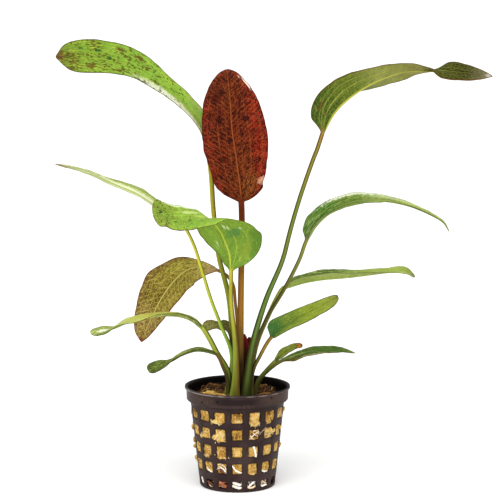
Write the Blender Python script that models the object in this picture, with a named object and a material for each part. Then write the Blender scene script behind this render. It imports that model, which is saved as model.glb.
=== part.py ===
"""A potted Amazon sword: a rosette of long-stalked leaves on a short rootstock, in a round grid pot
that holds a plug of mineral wool with a mat of roots under it.

The frame is +Z up, +X to the right and +Y to the back, in metres, and the origin is the middle of
the pot's foot. Sizes below are millimetres and are turned to metres as each mesh is made.
"""

from dataclasses import dataclass
from math import atan2, cos, pi, radians, sin, sqrt, tau

import bmesh
import bpy
from mathutils import Vector

MM = 0.001
GAP = 0.3  # kept between pieces that touch

# Pot
POT_HEIGHT = 50.0
FOOT_RADIUS = 18.7
WALL_TOP_RADIUS = 23.4  # where the wall meets the underside of the rim
WALL = 1.0
COLUMNS = 16  # of windows round the pot
COLUMN_STEPS = 3  # equal steps round the pot for a column: two for its window, one for its rib
WINDOW_HEIGHT = 5.6
WINDOW_SILLS = (9.2, 17.9, 26.6, 35.2)  # of the four upper rows
LOW_WINDOW = (1.5, 5.6)  # sill and head of the short bottom row
FLOOR_WINDOW = (7.0, 15.0)  # inner and outer radius of the windows in the floor
RIM_HEIGHT = 6.8
RIM_RADIUS = 25.2
LIP_RADIUS = 26.25

# What the pot holds
WOOL_TOP = 44.5
WOOL_BOTTOM = 8.6
SOCKET_CENTRE = (1.6, -0.4)  # the rootstock stands a little to the right of the pot's middle
SOCKET_RADIUS = 9.2
SOCKET_BOTTOM = 32.0
SOCKET_TAPER = 0.6
ROOTSTOCK_TOP = 42.2
EDGE_ROUNDING = 1.5  # height of the rounded edges of the plug and the root mat

# Leaves
RING = 8  # points round each section of a leaf
STALK_STEP = 14.0  # between sections of a stalk
MARGIN_THICKNESS = 0.5  # of a blade, halfway between its midrib and its edge
NARROWEST_HALF = 0.35  # of a blade's half, at its tip
KEEL_DEPTH = 1.2  # of the midrib under the blade, as a share of its radius


@dataclass(frozen=True)
class Leaf:
    """One leaf, from its foot on the rootstock to its tip.

    route holds points of the midrib; the blade begins at route[neck]. Each row of the blade holds
    a place along it, from 0 at its base to 1 at its tip, and what it has there: the widths of its
    two halves, the angle it is turned about its midrib and the angle its halves are folded up.
    """

    name: str
    colour: str
    lean: float  # direction that the leaf leans, degrees round from +X
    stalk: tuple  # diameters at the foot and at the blade's base
    neck: int
    route: tuple
    blade: tuple
    sections: int = 13  # along the blade


LEAVES = (
    Leaf("leaf_tall_spotted", "spotted", lean=180, stalk=(2.2, 1.8), neck=4,
         route=((-1.8, 4, 42.9), (-4, 5, 92), (-9, 8, 114), (-12.5, 10, 136), (-14, 10.5, 157),
                (-17, 9.5, 175), (-26, 7, 188.5), (-36, 2.5, 198), (-49.5, -4.5, 207),
                (-65, -14, 211.5), (-84.5, -26, 213)),
         blade=((0, 0.9, 0.9, -35, 55), (0.2, 4.5, 4.5, -38, 45), (0.5, 7, 7, -45, 28),
                (0.7, 8.5, 8.5, -55, 20), (0.85, 9.5, 8.5, -58, 12), (0.95, 7, 6, -60, 8),
                (1, 0.5, 0.5, -60, 5))),
    Leaf("leaf_tall_red", "red", lean=90, stalk=(3.0, 2.4), neck=3,
         route=((1.5, -1.5, 42.9), (1.5, -1.5, 93), (2, -1.5, 118), (2, -1, 142.5), (0, -0.5, 159.5),
                (-2.5, 0, 176.5), (-3.5, 1, 191), (-5, 3, 206)),
         blade=((0, 1.2, 1.2, 0, 14), (0.02, 7, 7.5, 0, 14), (0.07, 11.5, 11, 0, 13),
                (0.2, 13.5, 13, 0, 12), (0.42, 16.7, 15.2, 2, 10), (0.58, 16.5, 14.7, 2, 10),
                (0.75, 13.8, 13.2, 3, 8), (0.88, 8.8, 9.5, 4, 8), (0.96, 5, 5, 4, 8),
                (1, 0.5, 0.5, 4, 8)), sections=15),
    Leaf("leaf_tall_twisted", "green", lean=0, stalk=(3.6, 1.8), neck=7,
         route=((3.8, -5, 42.9), (5.5, -5, 58.5), (8, -6, 72.5), (15, -7, 94), (22, -8, 113.5),
                (30.5, -8, 143), (36.5, -8, 162.5), (40, -9.5, 175), (46.5, -12.5, 186), (55, -15.5, 194.5),
                (67, -20, 202), (79.5, -25, 206.5), (90.5, -30, 207), (104, -35, 206),
                (119, -40, 204.5)),
         blade=((0, 0.95, 0.95, -50, 45), (0.05, 7.5, 5, -48, 45), (0.12, 10.5, 8, -45, 45),
                (0.22, 11, 9.5, -45, 42), (0.38, 8.5, 9, -45, 22), (0.53, 6, 7.5, -42, 4),
                (0.62, 5, 6, -28, 4), (0.7, 5, 5, -8, 3), (0.77, 6.5, 6, 32, 6),
                (0.86, 6, 5, 42, 6), (0.95, 3.2, 2.5, 44, 5), (1, 0.4, 0.4, 44, 5)), sections=17),
    Leaf("leaf_mid_right", "green", lean=0, stalk=(2.2, 1.7), neck=5,
         route=((5.6, 1.8, 42.9), (8.5, 2, 67.5), (14, 3, 83), (23, 4, 98.5), (30.5, 5, 113),
                (33.5, 6.5, 120.5), (38.5, 8, 129), (46.5, 11, 135.5), (58.5, 14.5, 140),
                (73.5, 18.5, 140), (86.5, 21.5, 137), (97, 24, 132.5), (106.5, 27, 124)),
         blade=((0, 0.9, 0.9, 30, 30), (0.08, 4, 6, 30, 35), (0.3, 5, 5.2, 30, 25),
                (0.5, 4, 4, 30, 20), (0.75, 1.5, 2, 30, 20), (1, 0.4, 0.4, 30, 10)), sections=15),
    Leaf("leaf_low_right", "green", lean=0, stalk=(2.0, 1.6), neck=4,
         route=((4.8, 4.4, 42.9), (9, 5.5, 69), (15, 7, 84), (19.5, 8.5, 93), (23.5, 10.5, 97),
                (31, 14, 99), (41, 18.5, 100.5), (57, 24.5, 101), (75, 32, 102), (85, 36, 102),
                (90, 38, 99.5)),
         blade=((0, 0.8, 0.8, 10, 40), (0.15, 4, 4, 10, 40), (0.35, 5.2, 5.2, 8, 38),
                (0.6, 4, 4, 5, 20), (0.9, 3.5, 3.5, 15, 10), (1, 0.4, 0.4, 15, 10))),
    Leaf("leaf_oval_right", "green", lean=0, stalk=(1.4, 1.2), neck=3,
         route=((6.8, -3.2, 42.9), (7.5, -2.9, 57.5), (11, -4.5, 65.5), (16.5, -7, 75), (23.5, -10.5, 81.5),
                (30.5, -14, 86.5), (40.5, -18, 92.5), (49, -22, 98)),
         blade=((0, 0.6, 0.6, 60, 20), (0.05, 1.8, 4.5, 60, 15), (0.12, 2.5, 6, 60, 15),
                (0.3, 3.4, 5.8, 60, 15), (0.5, 4.4, 4.7, 60, 10), (0.75, 4, 3.5, 60, 8),
                (0.92, 2.2, 2.2, 60, 5), (1, 0.4, 0.4, 60, 5))),
    Leaf("leaf_short_right", "green", lean=0, stalk=(1.8, 1.6), neck=3,
         route=((8.2, -0.6, 42.9), (9.5, -1.5, 52), (14, -3, 59), (18.5, -5.5, 63.5), (22.5, -8, 68),
                (27, -11, 70.5), (31.5, -13, 71)),
         blade=((0, 0.8, 0.8, 40, 30), (0.3, 3, 2.5, 40, 20), (0.7, 2.2, 2, 40, 10),
                (1, 0.4, 0.4, 40, 10)), sections=10),
    Leaf("leaf_lowest_right", "green", lean=0, stalk=(1.8, 1.6), neck=4,
         route=((8.0, 2.0, 42.9), (9, 1.5, 47.5), (12, 2.5, 53), (16, 3.5, 57), (20.5, 5, 60.5),
                (26, 8, 62.5), (33.5, 11.5, 64.5), (42.5, 16, 65), (52, 20.5, 64), (60, 24, 61.5)),
         blade=((0, 0.8, 0.8, 25, 10), (0.15, 3.5, 3, 30, 0), (0.3, 4.2, 3.6, 30, 0), (0.7, 3.2, 3, 20, 6),
                (1, 0.4, 0.4, 20, 10))),
    Leaf("leaf_folded_front", "spotted", lean=250, stalk=(3.8, 1.9), neck=4,
         route=((-1.2, -5.5, 42.9), (-1, -7, 59), (-1.5, -8, 74), (-3, -9, 94), (-3, -10, 108),
                (-3.5, -10.5, 116.5), (-5.5, -11.5, 123), (-8.5, -14, 130), (-12.5, -17.5, 134.5),
                (-19, -21, 136), (-27.5, -25, 136.5), (-39.5, -30, 138.5)),
         blade=((0, 0.95, 0.95, 0, 25), (0.07, 6, 7.5, 0, 22), (0.15, 9, 13.5, 0, 18),
                (0.28, 12.5, 18.5, 0, 10), (0.42, 14, 17.5, -8, 4), (0.6, 12, 12.5, -24, 4),
                (0.78, 10.5, 11.5, -35, 4), (0.92, 8, 8.5, -42, 4), (1, 2, 2, -45, 4)), sections=17),
    Leaf("leaf_long_left", "green", lean=180, stalk=(1.8, 1.4), neck=6,
         route=((-2.6, -0.8, 42.9), (-3, -1.4, 67), (-7.5, -4, 79.5), (-12.5, -5.5, 93.5),
                (-17, -6.5, 107.5), (-21.5, -7, 121), (-26, -6.5, 129.5), (-30.5, -6, 135.5),
                (-39, -4.5, 139.5), (-48.5, -2.5, 144.5), (-60, 1, 149), (-75, 6.5, 154.5),
                (-90, 12, 158)),
         blade=((0, 0.7, 0.7, -30, 30), (0.3, 4, 4, -30, 30), (0.6, 3, 3, -30, 20),
                (0.9, 1.5, 1.5, -30, 10), (1, 0.4, 0.4, -30, 10))),
    Leaf("leaf_drooping_left", "olive", lean=180, stalk=(2.0, 1.5), neck=4,
         route=((1, 5.4, 42.9), (0, 7, 79), (-0.5, 9, 90), (-3.5, 10.5, 99), (-9, 11, 105.5),
                (-17, 11, 107.5), (-25, 10.5, 106), (-31.5, 9, 100.5), (-37.5, 7, 92.5),
                (-42.5, 5, 83), (-47.5, 3.5, 71.5)),
         blade=((0, 0.8, 0.8, -40, 10), (0.15, 3.5, 6, -45, 5), (0.3, 8, 9.5, -50, 10),
                (0.5, 11, 9.5, -60, 12), (0.7, 10.5, 7.5, -66, 10), (0.87, 7, 4, -70, 8),
                (0.95, 4, 2, -70, 8), (1, 0.4, 0.4, -70, 8)), sections=15),
    Leaf("leaf_small_left", "olive", lean=180, stalk=(1.6, 1.2), neck=3,
         route=((-4.4, 1.6, 42.9), (-3, 2.5, 69.5), (-4, 2.5, 75.5), (-6, 3.5, 79), (-9.5, 4, 79.5),
                (-13, 5, 79.5), (-17, 6, 80)),
         blade=((0, 0.6, 0.6, -40, 20), (0.3, 2, 3, -40, 10), (0.7, 2, 4, -40, 5),
                (1, 0.5, 0.5, -40, 5)), sections=9),
    Leaf("leaf_arching_left", "green", lean=180, stalk=(2.2, 1.9), neck=4,
         route=((-5.4, -1.6, 42.9), (-4.3, -3.6, 56.5), (-10, -4.5, 67), (-14, -5, 74.5), (-17, -6.5, 79.5),
                (-20.5, -8.5, 83.5), (-27, -10.5, 86.5), (-35.5, -13, 87.5), (-44.5, -16, 87),
                (-54, -19.5, 85.5), (-60, -22, 83), (-70.5, -26, 81.5)),
         blade=((0, 0.95, 0.95, -5, 10), (0.2, 3.5, 3.5, -5, 8), (0.45, 4, 4, -10, 5),
                (0.62, 4, 4, -25, 5), (0.72, 3, 3, -10, 5), (0.85, 3, 3, -40, 5), (1, 0.4, 0.4, -50, 5)),
         sections=15),
    Leaf("leaf_lowest_left", "green", lean=180, stalk=(2.0, 1.6), neck=3,
         route=((-4.6, -4.2, 42.9), (-4.5, -6.2, 54.5), (-6.5, -7, 60.5), (-9.5, -8.5, 66.5),
                (-14.5, -10.5, 68.5), (-20.5, -13.5, 69.5), (-27.5, -16, 67.5), (-32, -19, 65.5),
                (-42.5, -24, 62)),
         blade=((0, 0.8, 0.8, 0, 20), (0.3, 3, 3, -4, 10), (0.55, 2.5, 2.5, -8, 5),
                (0.66, 1.2, 1, -20, 5), (0.8, 2.8, 2.2, -50, 5), (0.93, 3, 2.5, -55, 5), (1, 1, 1, -55, 5))),
    Leaf("young_leaf_red", "red", lean=90, stalk=(2.0, 2.0), neck=1,
         route=((3.2, 0.9, 42.9), (3.4, 0.9, 57), (3.8, 0.9, 67.5), (2.8, 1, 76.5)),
         blade=((0, 1, 1, 30, 40), (0.4, 1.6, 1.6, 30, 40), (1, 0.4, 0.4, 30, 20)), sections=6),
    Leaf("young_leaf_purple", "purple", lean=90, stalk=(2.0, 2.0), neck=1,
         route=((1.0, 1.9, 42.9), (2, 3.2, 57), (4.2, 4, 65), (6, 4, 73.5)),
         blade=((0, 1, 1, 10, 40), (0.6, 2, 2, 10, 40), (1, 0.7, 0.7, 10, 30)), sections=6),
)

COLOURS = {
    "pot_plastic": ((0.045, 0.036, 0.038), 0.35),
    "wool": ((0.62, 0.42, 0.16), 0.95),
    "rootstock": ((0.30, 0.22, 0.09), 0.8),
    "root": ((0.86, 0.82, 0.72), 0.6),
    "spotted": ((0.25, 0.42, 0.07), 0.4),
    "green": ((0.16, 0.33, 0.06), 0.4),
    "olive": ((0.25, 0.20, 0.05), 0.45),
    "red": ((0.30, 0.05, 0.02), 0.4),
    "purple": ((0.07, 0.012, 0.02), 0.35),
}


# Small tools -------------------------------------------------------------------------------------


def material(name):
    """The plain material of that colour, made once."""
    made = bpy.data.materials.get(name)
    if made is None:
        made = bpy.data.materials.new(name)
        made.use_nodes = True
        base, roughness = COLOURS[name]
        shader = made.node_tree.nodes["Principled BSDF"]
        shader.inputs["Base Color"].default_value = (*base, 1)
        shader.inputs["Roughness"].default_value = roughness
        shader.inputs["Metallic"].default_value = 0
    return made


def finish(bm, name, colour, sharp_from):
    """The object of that mesh, in metres, with its colour, and smooth up to that angle in degrees."""
    bmesh.ops.scale(bm, verts=bm.verts, vec=(MM, MM, MM))
    mesh = bpy.data.meshes.new(name)
    bm.to_mesh(mesh)
    bm.free()
    mesh.shade_smooth()
    mesh.set_sharp_from_angle(angle=radians(sharp_from))
    mesh.materials.append(material(colour))
    obj = bpy.data.objects.new(name, mesh)
    bpy.context.scene.collection.objects.link(obj)
    return obj


def extrude_ring(bm, ring, places):
    """Extrudes a ring of vertices and moves each new one to its place."""
    edges = [bm.edges.get((a, b)) for a, b in zip(ring, ring[1:] + ring[:1])]
    made = bmesh.ops.extrude_edge_only(bm, edges=edges)["geom"]
    new = {v for v in made if isinstance(v, bmesh.types.BMVert)}
    risen = [next(e.other_vert(v) for e in v.link_edges if e.other_vert(v) in new) for v in ring]
    for vertex, place in zip(risen, places):
        vertex.co = place
    return risen


def split_alike(ring, risen):
    """Splits the faces between two rings so that a thin solid's two sides are split along the same lines."""
    corners = zip(ring, ring[1:] + ring[:1], risen[1:] + risen[:1], risen)
    for k, (a, b, c, d) in enumerate(corners):
        face = next(f for f in a.link_faces if {a, b, c, d} == set(f.verts))
        ends = (a, c) if k < len(ring) // 2 else (b, d)
        bmesh.utils.face_split(face, *ends)


def loft(name, rings, colour, sharp_from, thin=False):
    """A closed solid through rings of as many points each, extruded one after the other and capped."""
    bm = bmesh.new()
    ring = [bm.verts.new(place) for place in rings[0]]
    for a, b in zip(ring, ring[1:] + ring[:1]):
        bm.edges.new((a, b))
    bm.faces.new(ring)
    for places in rings[1:]:
        before, ring = ring, extrude_ring(bm, ring, places)
        if thin:
            split_alike(before, ring)
    bm.faces.new(ring)
    bmesh.ops.recalc_face_normals(bm, faces=bm.faces)
    return finish(bm, name, colour, sharp_from)


def circle(radius, height, centre=(0, 0), steps=30):
    """Points round a level circle."""
    return [
        Vector((centre[0] + radius * cos(tau * k / steps), centre[1] + radius * sin(tau * k / steps), height))
        for k in range(steps)
    ]


def between(rows, place):
    """What the rows hold at that place, along a smooth curve through them."""
    after = max(next((k for k, row in enumerate(rows) if place <= row[0]), len(rows) - 1), 1)
    last = len(rows) - 1
    near = [rows[max(after - 2, 0)], rows[after - 1], rows[after], rows[min(after + 1, last)]]
    low, high = near[1], near[2]
    span = high[0] - low[0]
    t = (place - low[0]) / span
    found = []
    for k in range(1, len(low)):
        slopes = [(near[i + 2][k] - near[i][k]) / (near[i + 2][0] - near[i][0]) * span for i in (0, 1)]
        ends = (2 * t**3 - 3 * t**2 + 1) * low[k] + (3 * t**2 - 2 * t**3) * high[k]
        found.append(ends + (t**3 - 2 * t**2 + t) * slopes[0] + (t**3 - t**2) * slopes[1])
    return found


# Pot ---------------------------------------------------------------------------------------------


def wall_radius(height):
    """Outer radius of the pot's tapered wall at that height."""
    return FOOT_RADIUS + (WALL_TOP_RADIUS - FOOT_RADIUS) * height / (POT_HEIGHT - RIM_HEIGHT)


def window_rows():
    """Sill and head of each row of windows in the wall."""
    return [LOW_WINDOW] + [(sill, sill + WINDOW_HEIGHT) for sill in WINDOW_SILLS]


def pot_profile():
    """The pot's outer profile, from the middle of its floor to the edge of its lip."""
    profile = [(0, 0), (FLOOR_WINDOW[0], 0), (FLOOR_WINDOW[1], 0), (FOOT_RADIUS, 0)]
    profile += [(wall_radius(height), height) for row in window_rows() for height in row]
    rim_foot = POT_HEIGHT - RIM_HEIGHT
    lip_foot = POT_HEIGHT - WALL
    profile += [(WALL_TOP_RADIUS, rim_foot), (RIM_RADIUS, rim_foot), (RIM_RADIUS + 0.2, lip_foot),
                (LIP_RADIUS, lip_foot)]
    return profile


def is_window(face, start):
    """Whether a face of the pot's skin is part of a window, counting steps from the start angle."""
    middle = face.calc_center_median()
    step = int((atan2(middle.y, middle.x) - start) % tau / tau * COLUMNS * COLUMN_STEPS)
    if step % COLUMN_STEPS == COLUMN_STEPS - 1:
        return False
    if middle.z < min(LOW_WINDOW) / 2:
        return FLOOR_WINDOW[0] < middle.xy.length < FLOOR_WINDOW[1]
    return any(sill < middle.z < head for sill, head in window_rows())


def build_pot():
    """The grid pot: a spun skin with its windows taken out, thickened inwards."""
    start = -pi / 2 - tau / COLUMNS / COLUMN_STEPS  # one column's middle faces the front
    bm = bmesh.new()
    points = [bm.verts.new((r * cos(start), r * sin(start), height)) for r, height in pot_profile()]
    edges = [bm.edges.new(pair) for pair in zip(points, points[1:])]
    bmesh.ops.spin(bm, geom=points + edges, cent=(0, 0, 0), axis=(0, 0, 1), angle=tau,
                   steps=COLUMNS * COLUMN_STEPS, use_merge=True)
    bmesh.ops.remove_doubles(bm, verts=bm.verts, dist=0.01)
    bmesh.ops.reverse_faces(bm, faces=bm.faces)  # spun round from the floor, they face inwards
    windows = [face for face in bm.faces if is_window(face, start)]
    bmesh.ops.delete(bm, geom=windows, context="FACES")
    pot = finish(bm, "grid_pot", "pot_plastic", 35)
    wall = pot.modifiers.new("wall", "SOLIDIFY")
    wall.thickness = WALL * MM
    wall.offset = -1
    wall.use_even_offset = True
    return pot


# What the pot holds ------------------------------------------------------------------------------


def filling_radius(height):
    """Radius of what fills the pot at that height, clear of its wall."""
    return wall_radius(height) - WALL - GAP


def rounded_filling(low, high):
    """Rings of a filling between two heights, with rounded edges."""
    inset = 0.8 * EDGE_ROUNDING
    return [
        circle(filling_radius(low) - inset, low),
        circle(filling_radius(low + EDGE_ROUNDING), low + EDGE_ROUNDING),
        circle(filling_radius(high - EDGE_ROUNDING), high - EDGE_ROUNDING),
        circle(filling_radius(high - EDGE_ROUNDING) - inset, high),
    ]


def build_wool():
    """The plug of mineral wool, with the socket that the rootstock stands in."""
    rings = rounded_filling(WOOL_BOTTOM, WOOL_TOP)
    rings.append(circle(SOCKET_RADIUS, WOOL_TOP - GAP, SOCKET_CENTRE))
    rings.append(circle(SOCKET_RADIUS - SOCKET_TAPER, SOCKET_BOTTOM, SOCKET_CENTRE))
    return loft("wool_plug", rings, "wool", 35)


def build_rootstock():
    """The short rootstock that every leaf and root grows from, sunk in the plug's socket."""
    wide = SOCKET_RADIUS - SOCKET_TAPER - 2 * GAP
    shape = ((0.6, SOCKET_BOTTOM + GAP), (0.95, SOCKET_BOTTOM + 3), (1, ROOTSTOCK_TOP - 2),
             (0.95, ROOTSTOCK_TOP))
    rings = [circle(wide * share, height, SOCKET_CENTRE, 16) for share, height in shape]
    return loft("rootstock", rings, "rootstock", 35)


def build_root_mat():
    """The mat that the roots wind into between the plug and the pot's floor."""
    return loft("root_mat", rounded_filling(WALL + GAP, WOOL_BOTTOM - GAP), "root", 35)


# Leaves ------------------------------------------------------------------------------------------


def spline(points, steps_each):
    """A smooth line through the points, with as many steps between each pair."""
    ends = [points[0] * 2 - points[1], *points, points[-1] * 2 - points[-2]]
    line = []
    for before, start, end, after in zip(ends, ends[1:], ends[2:], ends[3:]):
        t1 = sqrt((start - before).length)
        t2 = t1 + sqrt((end - start).length)
        t3 = t2 + sqrt((after - end).length)
        for step in range(steps_each):
            t = t1 + (t2 - t1) * step / steps_each
            a1 = before.lerp(start, t / t1)
            a2 = start.lerp(end, (t - t1) / (t2 - t1))
            a3 = end.lerp(after, (t - t2) / (t3 - t2))
            b1 = a1.lerp(a2, t / t2)
            b2 = a2.lerp(a3, (t - t1) / (t3 - t1))
            line.append(b1.lerp(b2, (t - t1) / (t2 - t1)))
    line.append(points[-1])
    return line


def stations(leaf):
    """Point, direction, place along the stalk and place along the blade of each of its sections."""
    steps_each = 24
    line = spline([Vector(point) for point in leaf.route], steps_each)
    run = [0.0]
    for a, b in zip(line, line[1:]):
        run.append(run[-1] + (b - a).length)
    neck = run[leaf.neck * steps_each]
    blade = run[-1] - neck
    stalk_sections = max(round(neck / STALK_STEP), 3)
    wanted = [(neck * k / stalk_sections, k / stalk_sections, 0.0) for k in range(stalk_sections)]
    for k in range(leaf.sections + 1):
        even = k / leaf.sections
        along = 0.55 * (1 - cos(pi * even)) / 2 + 0.45 * even  # closer together at both ends
        wanted.append((neck + blade * along, 1.0, along))
    found = []
    index = 0
    for length, stalk_place, along in wanted:
        while index < len(run) - 2 and run[index + 1] < length:
            index += 1
        share = (length - run[index]) / (run[index + 1] - run[index])
        point = line[index].lerp(line[index + 1], share)
        direction = line[min(index + 4, len(line) - 1)] - line[max(index - 3, 0)]
        found.append((point, direction.normalized(), stalk_place, along))
    return found


def section(leaf, point, direction, stalk_place, along):
    """The points of one section, round on the stalk and flat, folded and turned on the blade."""
    near, far, turn, fold = between(leaf.blade, along)
    lean, turn, fold = radians(leaf.lean), radians(turn), radians(fold)
    across = Vector((-sin(lean), cos(lean), 0))
    across = (across - direction * across.dot(direction)).normalized()
    face = direction.cross(across)
    side = across * cos(turn) + face * sin(turn)
    upper = face * cos(turn) - across * sin(turn)
    foot, neck = leaf.stalk
    stalk_radius = (neck + (foot - neck) * (1 - stalk_place) ** 3) / 2
    flatness = min(along / 0.05, 1.0)
    keel = stalk_radius * (1 - along) ** 0.6 + 0.22 * along
    places = (-1, -0.5, 0, 0.5, 1, 0.5, 0, -0.5)
    rises = (0, MARGIN_THICKNESS / 2, MARGIN_THICKNESS / 2, MARGIN_THICKNESS / 2,
             0, -MARGIN_THICKNESS / 2, -keel * KEEL_DEPTH, -MARGIN_THICKNESS / 2)
    ring = []
    for k in range(RING):
        angle = pi - tau * k / RING
        on_stalk = side * stalk_radius * cos(angle) + upper * stalk_radius * sin(angle)
        reach = places[k] * max(near if places[k] < 0 else far, NARROWEST_HALF)
        on_blade = side * reach * cos(fold) + upper * (abs(reach) * sin(fold) + rises[k])
        ring.append(point + on_stalk.lerp(on_blade, flatness))
    return ring


def build_leaf(leaf):
    """The leaf as one solid, from the foot of its stalk to the tip of its blade."""
    rings = [section(leaf, *station) for station in stations(leaf)]
    return loft(leaf.name, rings, leaf.colour, 60, thin=True)


def main():
    """Clears the scene and builds the plant in its pot."""
    for obj in list(bpy.data.objects):
        bpy.data.objects.remove(obj)
    build_pot()
    build_wool()
    build_rootstock()
    build_root_mat()
    for leaf in LEAVES:
        build_leaf(leaf)


if __name__ == "__main__":
    main()
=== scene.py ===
"""Looks of a potted Amazon sword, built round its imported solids.

Every solid is hidden and a finer piece stands in its place: leaves with veins, flecks and rippled
margins, a moulded grid pot, mineral wool with its fibres, and the roots that wind through it.
Sizes in the tables are millimetres and become metres when a mesh is made.
"""

import logging
from contextlib import contextmanager
from dataclasses import dataclass
from enum import Enum
from math import atan2, cos, pi, radians, sin, tau
from typing import Any, Iterator, Sequence

import bmesh
import bpy
import numpy as np
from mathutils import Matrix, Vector, noise


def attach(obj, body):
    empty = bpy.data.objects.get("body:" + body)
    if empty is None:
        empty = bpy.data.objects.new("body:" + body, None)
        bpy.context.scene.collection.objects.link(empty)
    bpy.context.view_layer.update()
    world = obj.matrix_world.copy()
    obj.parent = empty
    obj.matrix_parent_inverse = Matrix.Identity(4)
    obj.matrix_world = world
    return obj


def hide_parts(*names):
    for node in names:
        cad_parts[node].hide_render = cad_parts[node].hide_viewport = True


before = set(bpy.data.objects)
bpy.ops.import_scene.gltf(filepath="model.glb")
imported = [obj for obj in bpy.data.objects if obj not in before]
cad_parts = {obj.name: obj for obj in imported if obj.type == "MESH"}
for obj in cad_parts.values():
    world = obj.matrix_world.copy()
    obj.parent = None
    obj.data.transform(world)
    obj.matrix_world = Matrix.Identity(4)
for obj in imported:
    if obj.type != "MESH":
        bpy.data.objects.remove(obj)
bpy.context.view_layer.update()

LOG = logging.getLogger("plant")
MM = 0.001
BODY = "root"
SMOOTH_ANGLE = 80  # degrees, for soft and grown pieces

Colour = tuple[float, float, float]
Stop = tuple[float, float, float, float]  # a place and the colour there
Wash = tuple[float, float, float, float]  # a colour and its share
Point = tuple[float, float, float]
Piece = bpy.types.Object


# Bench: shaping meshes with Blender's operators ---------------------------------------------------


class Bench:
    """The modelling bench, where one piece at a time is shaped with Blender's operators."""

    @staticmethod
    def clear() -> None:
        """Leaves nothing selected, so that an operator acts on its own piece alone."""
        if bpy.context.object and bpy.context.object.mode != "OBJECT":
            bpy.ops.object.mode_set(mode="OBJECT")
        bpy.ops.object.select_all(action="DESELECT")

    @staticmethod
    def take(piece: Piece) -> None:
        """Selects one piece alone and makes it the active one."""
        Bench.clear()
        piece.select_set(True)
        bpy.context.view_layer.objects.active = piece

    @staticmethod
    def added(name: str) -> Piece:
        """The primitive that was just added, under its name."""
        piece = bpy.context.object
        piece.name = piece.data.name = name
        return piece

    @staticmethod
    @contextmanager
    def editing(piece: Piece, kind: str = "VERT") -> Iterator[bmesh.types.BMesh]:
        """Holds a piece in edit mode, with nothing selected at the start.

        Args:
            piece: The piece to edit.
            kind: What is selected: VERT, EDGE or FACE.

        Returns:
            The mesh that is being edited.
        """
        Bench.take(piece)
        bpy.ops.object.mode_set(mode="EDIT")
        bpy.ops.mesh.select_mode(type=kind)
        bpy.ops.mesh.select_all(action="DESELECT")
        yield bmesh.from_edit_mesh(piece.data)
        bpy.ops.object.mode_set(mode="OBJECT")

    @staticmethod
    def places(piece: Piece) -> np.ndarray:
        """The place of every vertex, one a row."""
        flat = np.zeros(len(piece.data.vertices) * 3)
        piece.data.vertices.foreach_get("co", flat)
        return flat.reshape(-1, 3)

    @staticmethod
    def grid(name: str, columns: int, rows: int) -> tuple[Piece, np.ndarray, np.ndarray]:
        """A flat grid to be laid out as a surface.

        Args:
            name: Name of the piece.
            columns: Faces across.
            rows: Faces along.

        Returns:
            The piece, and the column and the row that each of its vertices is in.
        """
        Bench.clear()
        bpy.ops.mesh.primitive_grid_add(x_subdivisions=columns, y_subdivisions=rows, size=1,
                                        location=(0, 0, 0))
        piece = Bench.added(name)
        flat = Bench.places(piece)
        column = np.rint((flat[:, 0] + 0.5) * columns).astype(int)
        return piece, column, np.rint((flat[:, 1] + 0.5) * rows).astype(int)

    @staticmethod
    def place(piece: Piece, points: np.ndarray) -> None:
        """Moves every vertex to its place, given in millimetres."""
        piece.data.vertices.foreach_set("co", (points * MM).astype(np.float32).ravel())
        piece.data.update()

    @staticmethod
    def note(piece: Piece, name: str, values: np.ndarray) -> None:
        """Writes one number or one vector on each vertex, for the materials to read."""
        kind, key = ("FLOAT", "value") if values.ndim == 1 else ("FLOAT_VECTOR", "vector")
        attribute = piece.data.attributes.new(name, kind, "POINT")
        attribute.data.foreach_set(key, values.astype(np.float32).ravel())

    @staticmethod
    def close(piece: Piece, weld: float, capped: bool = True) -> None:
        """Welds points closer than that in millimetres, caps open ends and turns faces outwards."""
        with Bench.editing(piece):
            bpy.ops.mesh.select_all(action="SELECT")
            bpy.ops.mesh.remove_doubles(threshold=weld * MM)
            if capped:
                bpy.ops.mesh.fill_holes(sides=0)
            bpy.ops.mesh.select_all(action="SELECT")
            bpy.ops.mesh.normals_make_consistent(inside=False)

    @staticmethod
    def roll(name: str, points: np.ndarray, notes: dict[str, np.ndarray], smooth: float) -> Piece:
        """Rolls a grid up into a closed skin.

        Args:
            name: Name of the piece.
            points: Its points by row and column; the last column is laid on the first.
            notes: What is written on the points, by name.
            smooth: Edges up to this angle in degrees are shaded smooth.

        Returns:
            The piece.
        """
        points[:, -1] = points[:, 0]
        piece, column, row = Bench.grid(name, points.shape[1] - 1, points.shape[0] - 1)
        Bench.place(piece, points[row, column])
        for key, values in notes.items():
            Bench.note(piece, key, values[row, column])
        Bench.close(piece, 0.0005)
        Bench.smooth(piece, smooth)
        return piece

    @staticmethod
    def smooth(piece: Piece, angle: float) -> None:
        """Shades a piece smooth, apart from edges sharper than the angle in degrees."""
        Bench.take(piece)
        bpy.ops.object.shade_smooth_by_angle(angle=radians(angle))

    @staticmethod
    def apply(piece: Piece, kind: str, **settings: Any) -> None:
        """Adds a modifier with those settings and applies it."""
        Bench.take(piece)
        modifier = piece.modifiers.new(kind.lower(), kind)
        for key, value in settings.items():
            setattr(modifier, key, value)
        bpy.ops.object.modifier_apply(modifier=modifier.name)


def ease(low: float, high: float, value: Any) -> Any:
    """A smooth rise from 0 at low to 1 at high, for a number or an array."""
    t = np.clip((value - low) / (high - low), 0, 1)
    return t * t * (3 - 2 * t)


def rough(x: float, y: float, z: float, size: float, seed: float = 0) -> float:
    """Smooth noise between about -1 and 1, with lumps of that size."""
    return noise.noise(Vector((x / size + seed, y / size - seed, z / size + 2 * seed)))


lumps = np.vectorize(rough, otypes=[float])  # the same noise, for arrays of places


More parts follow.
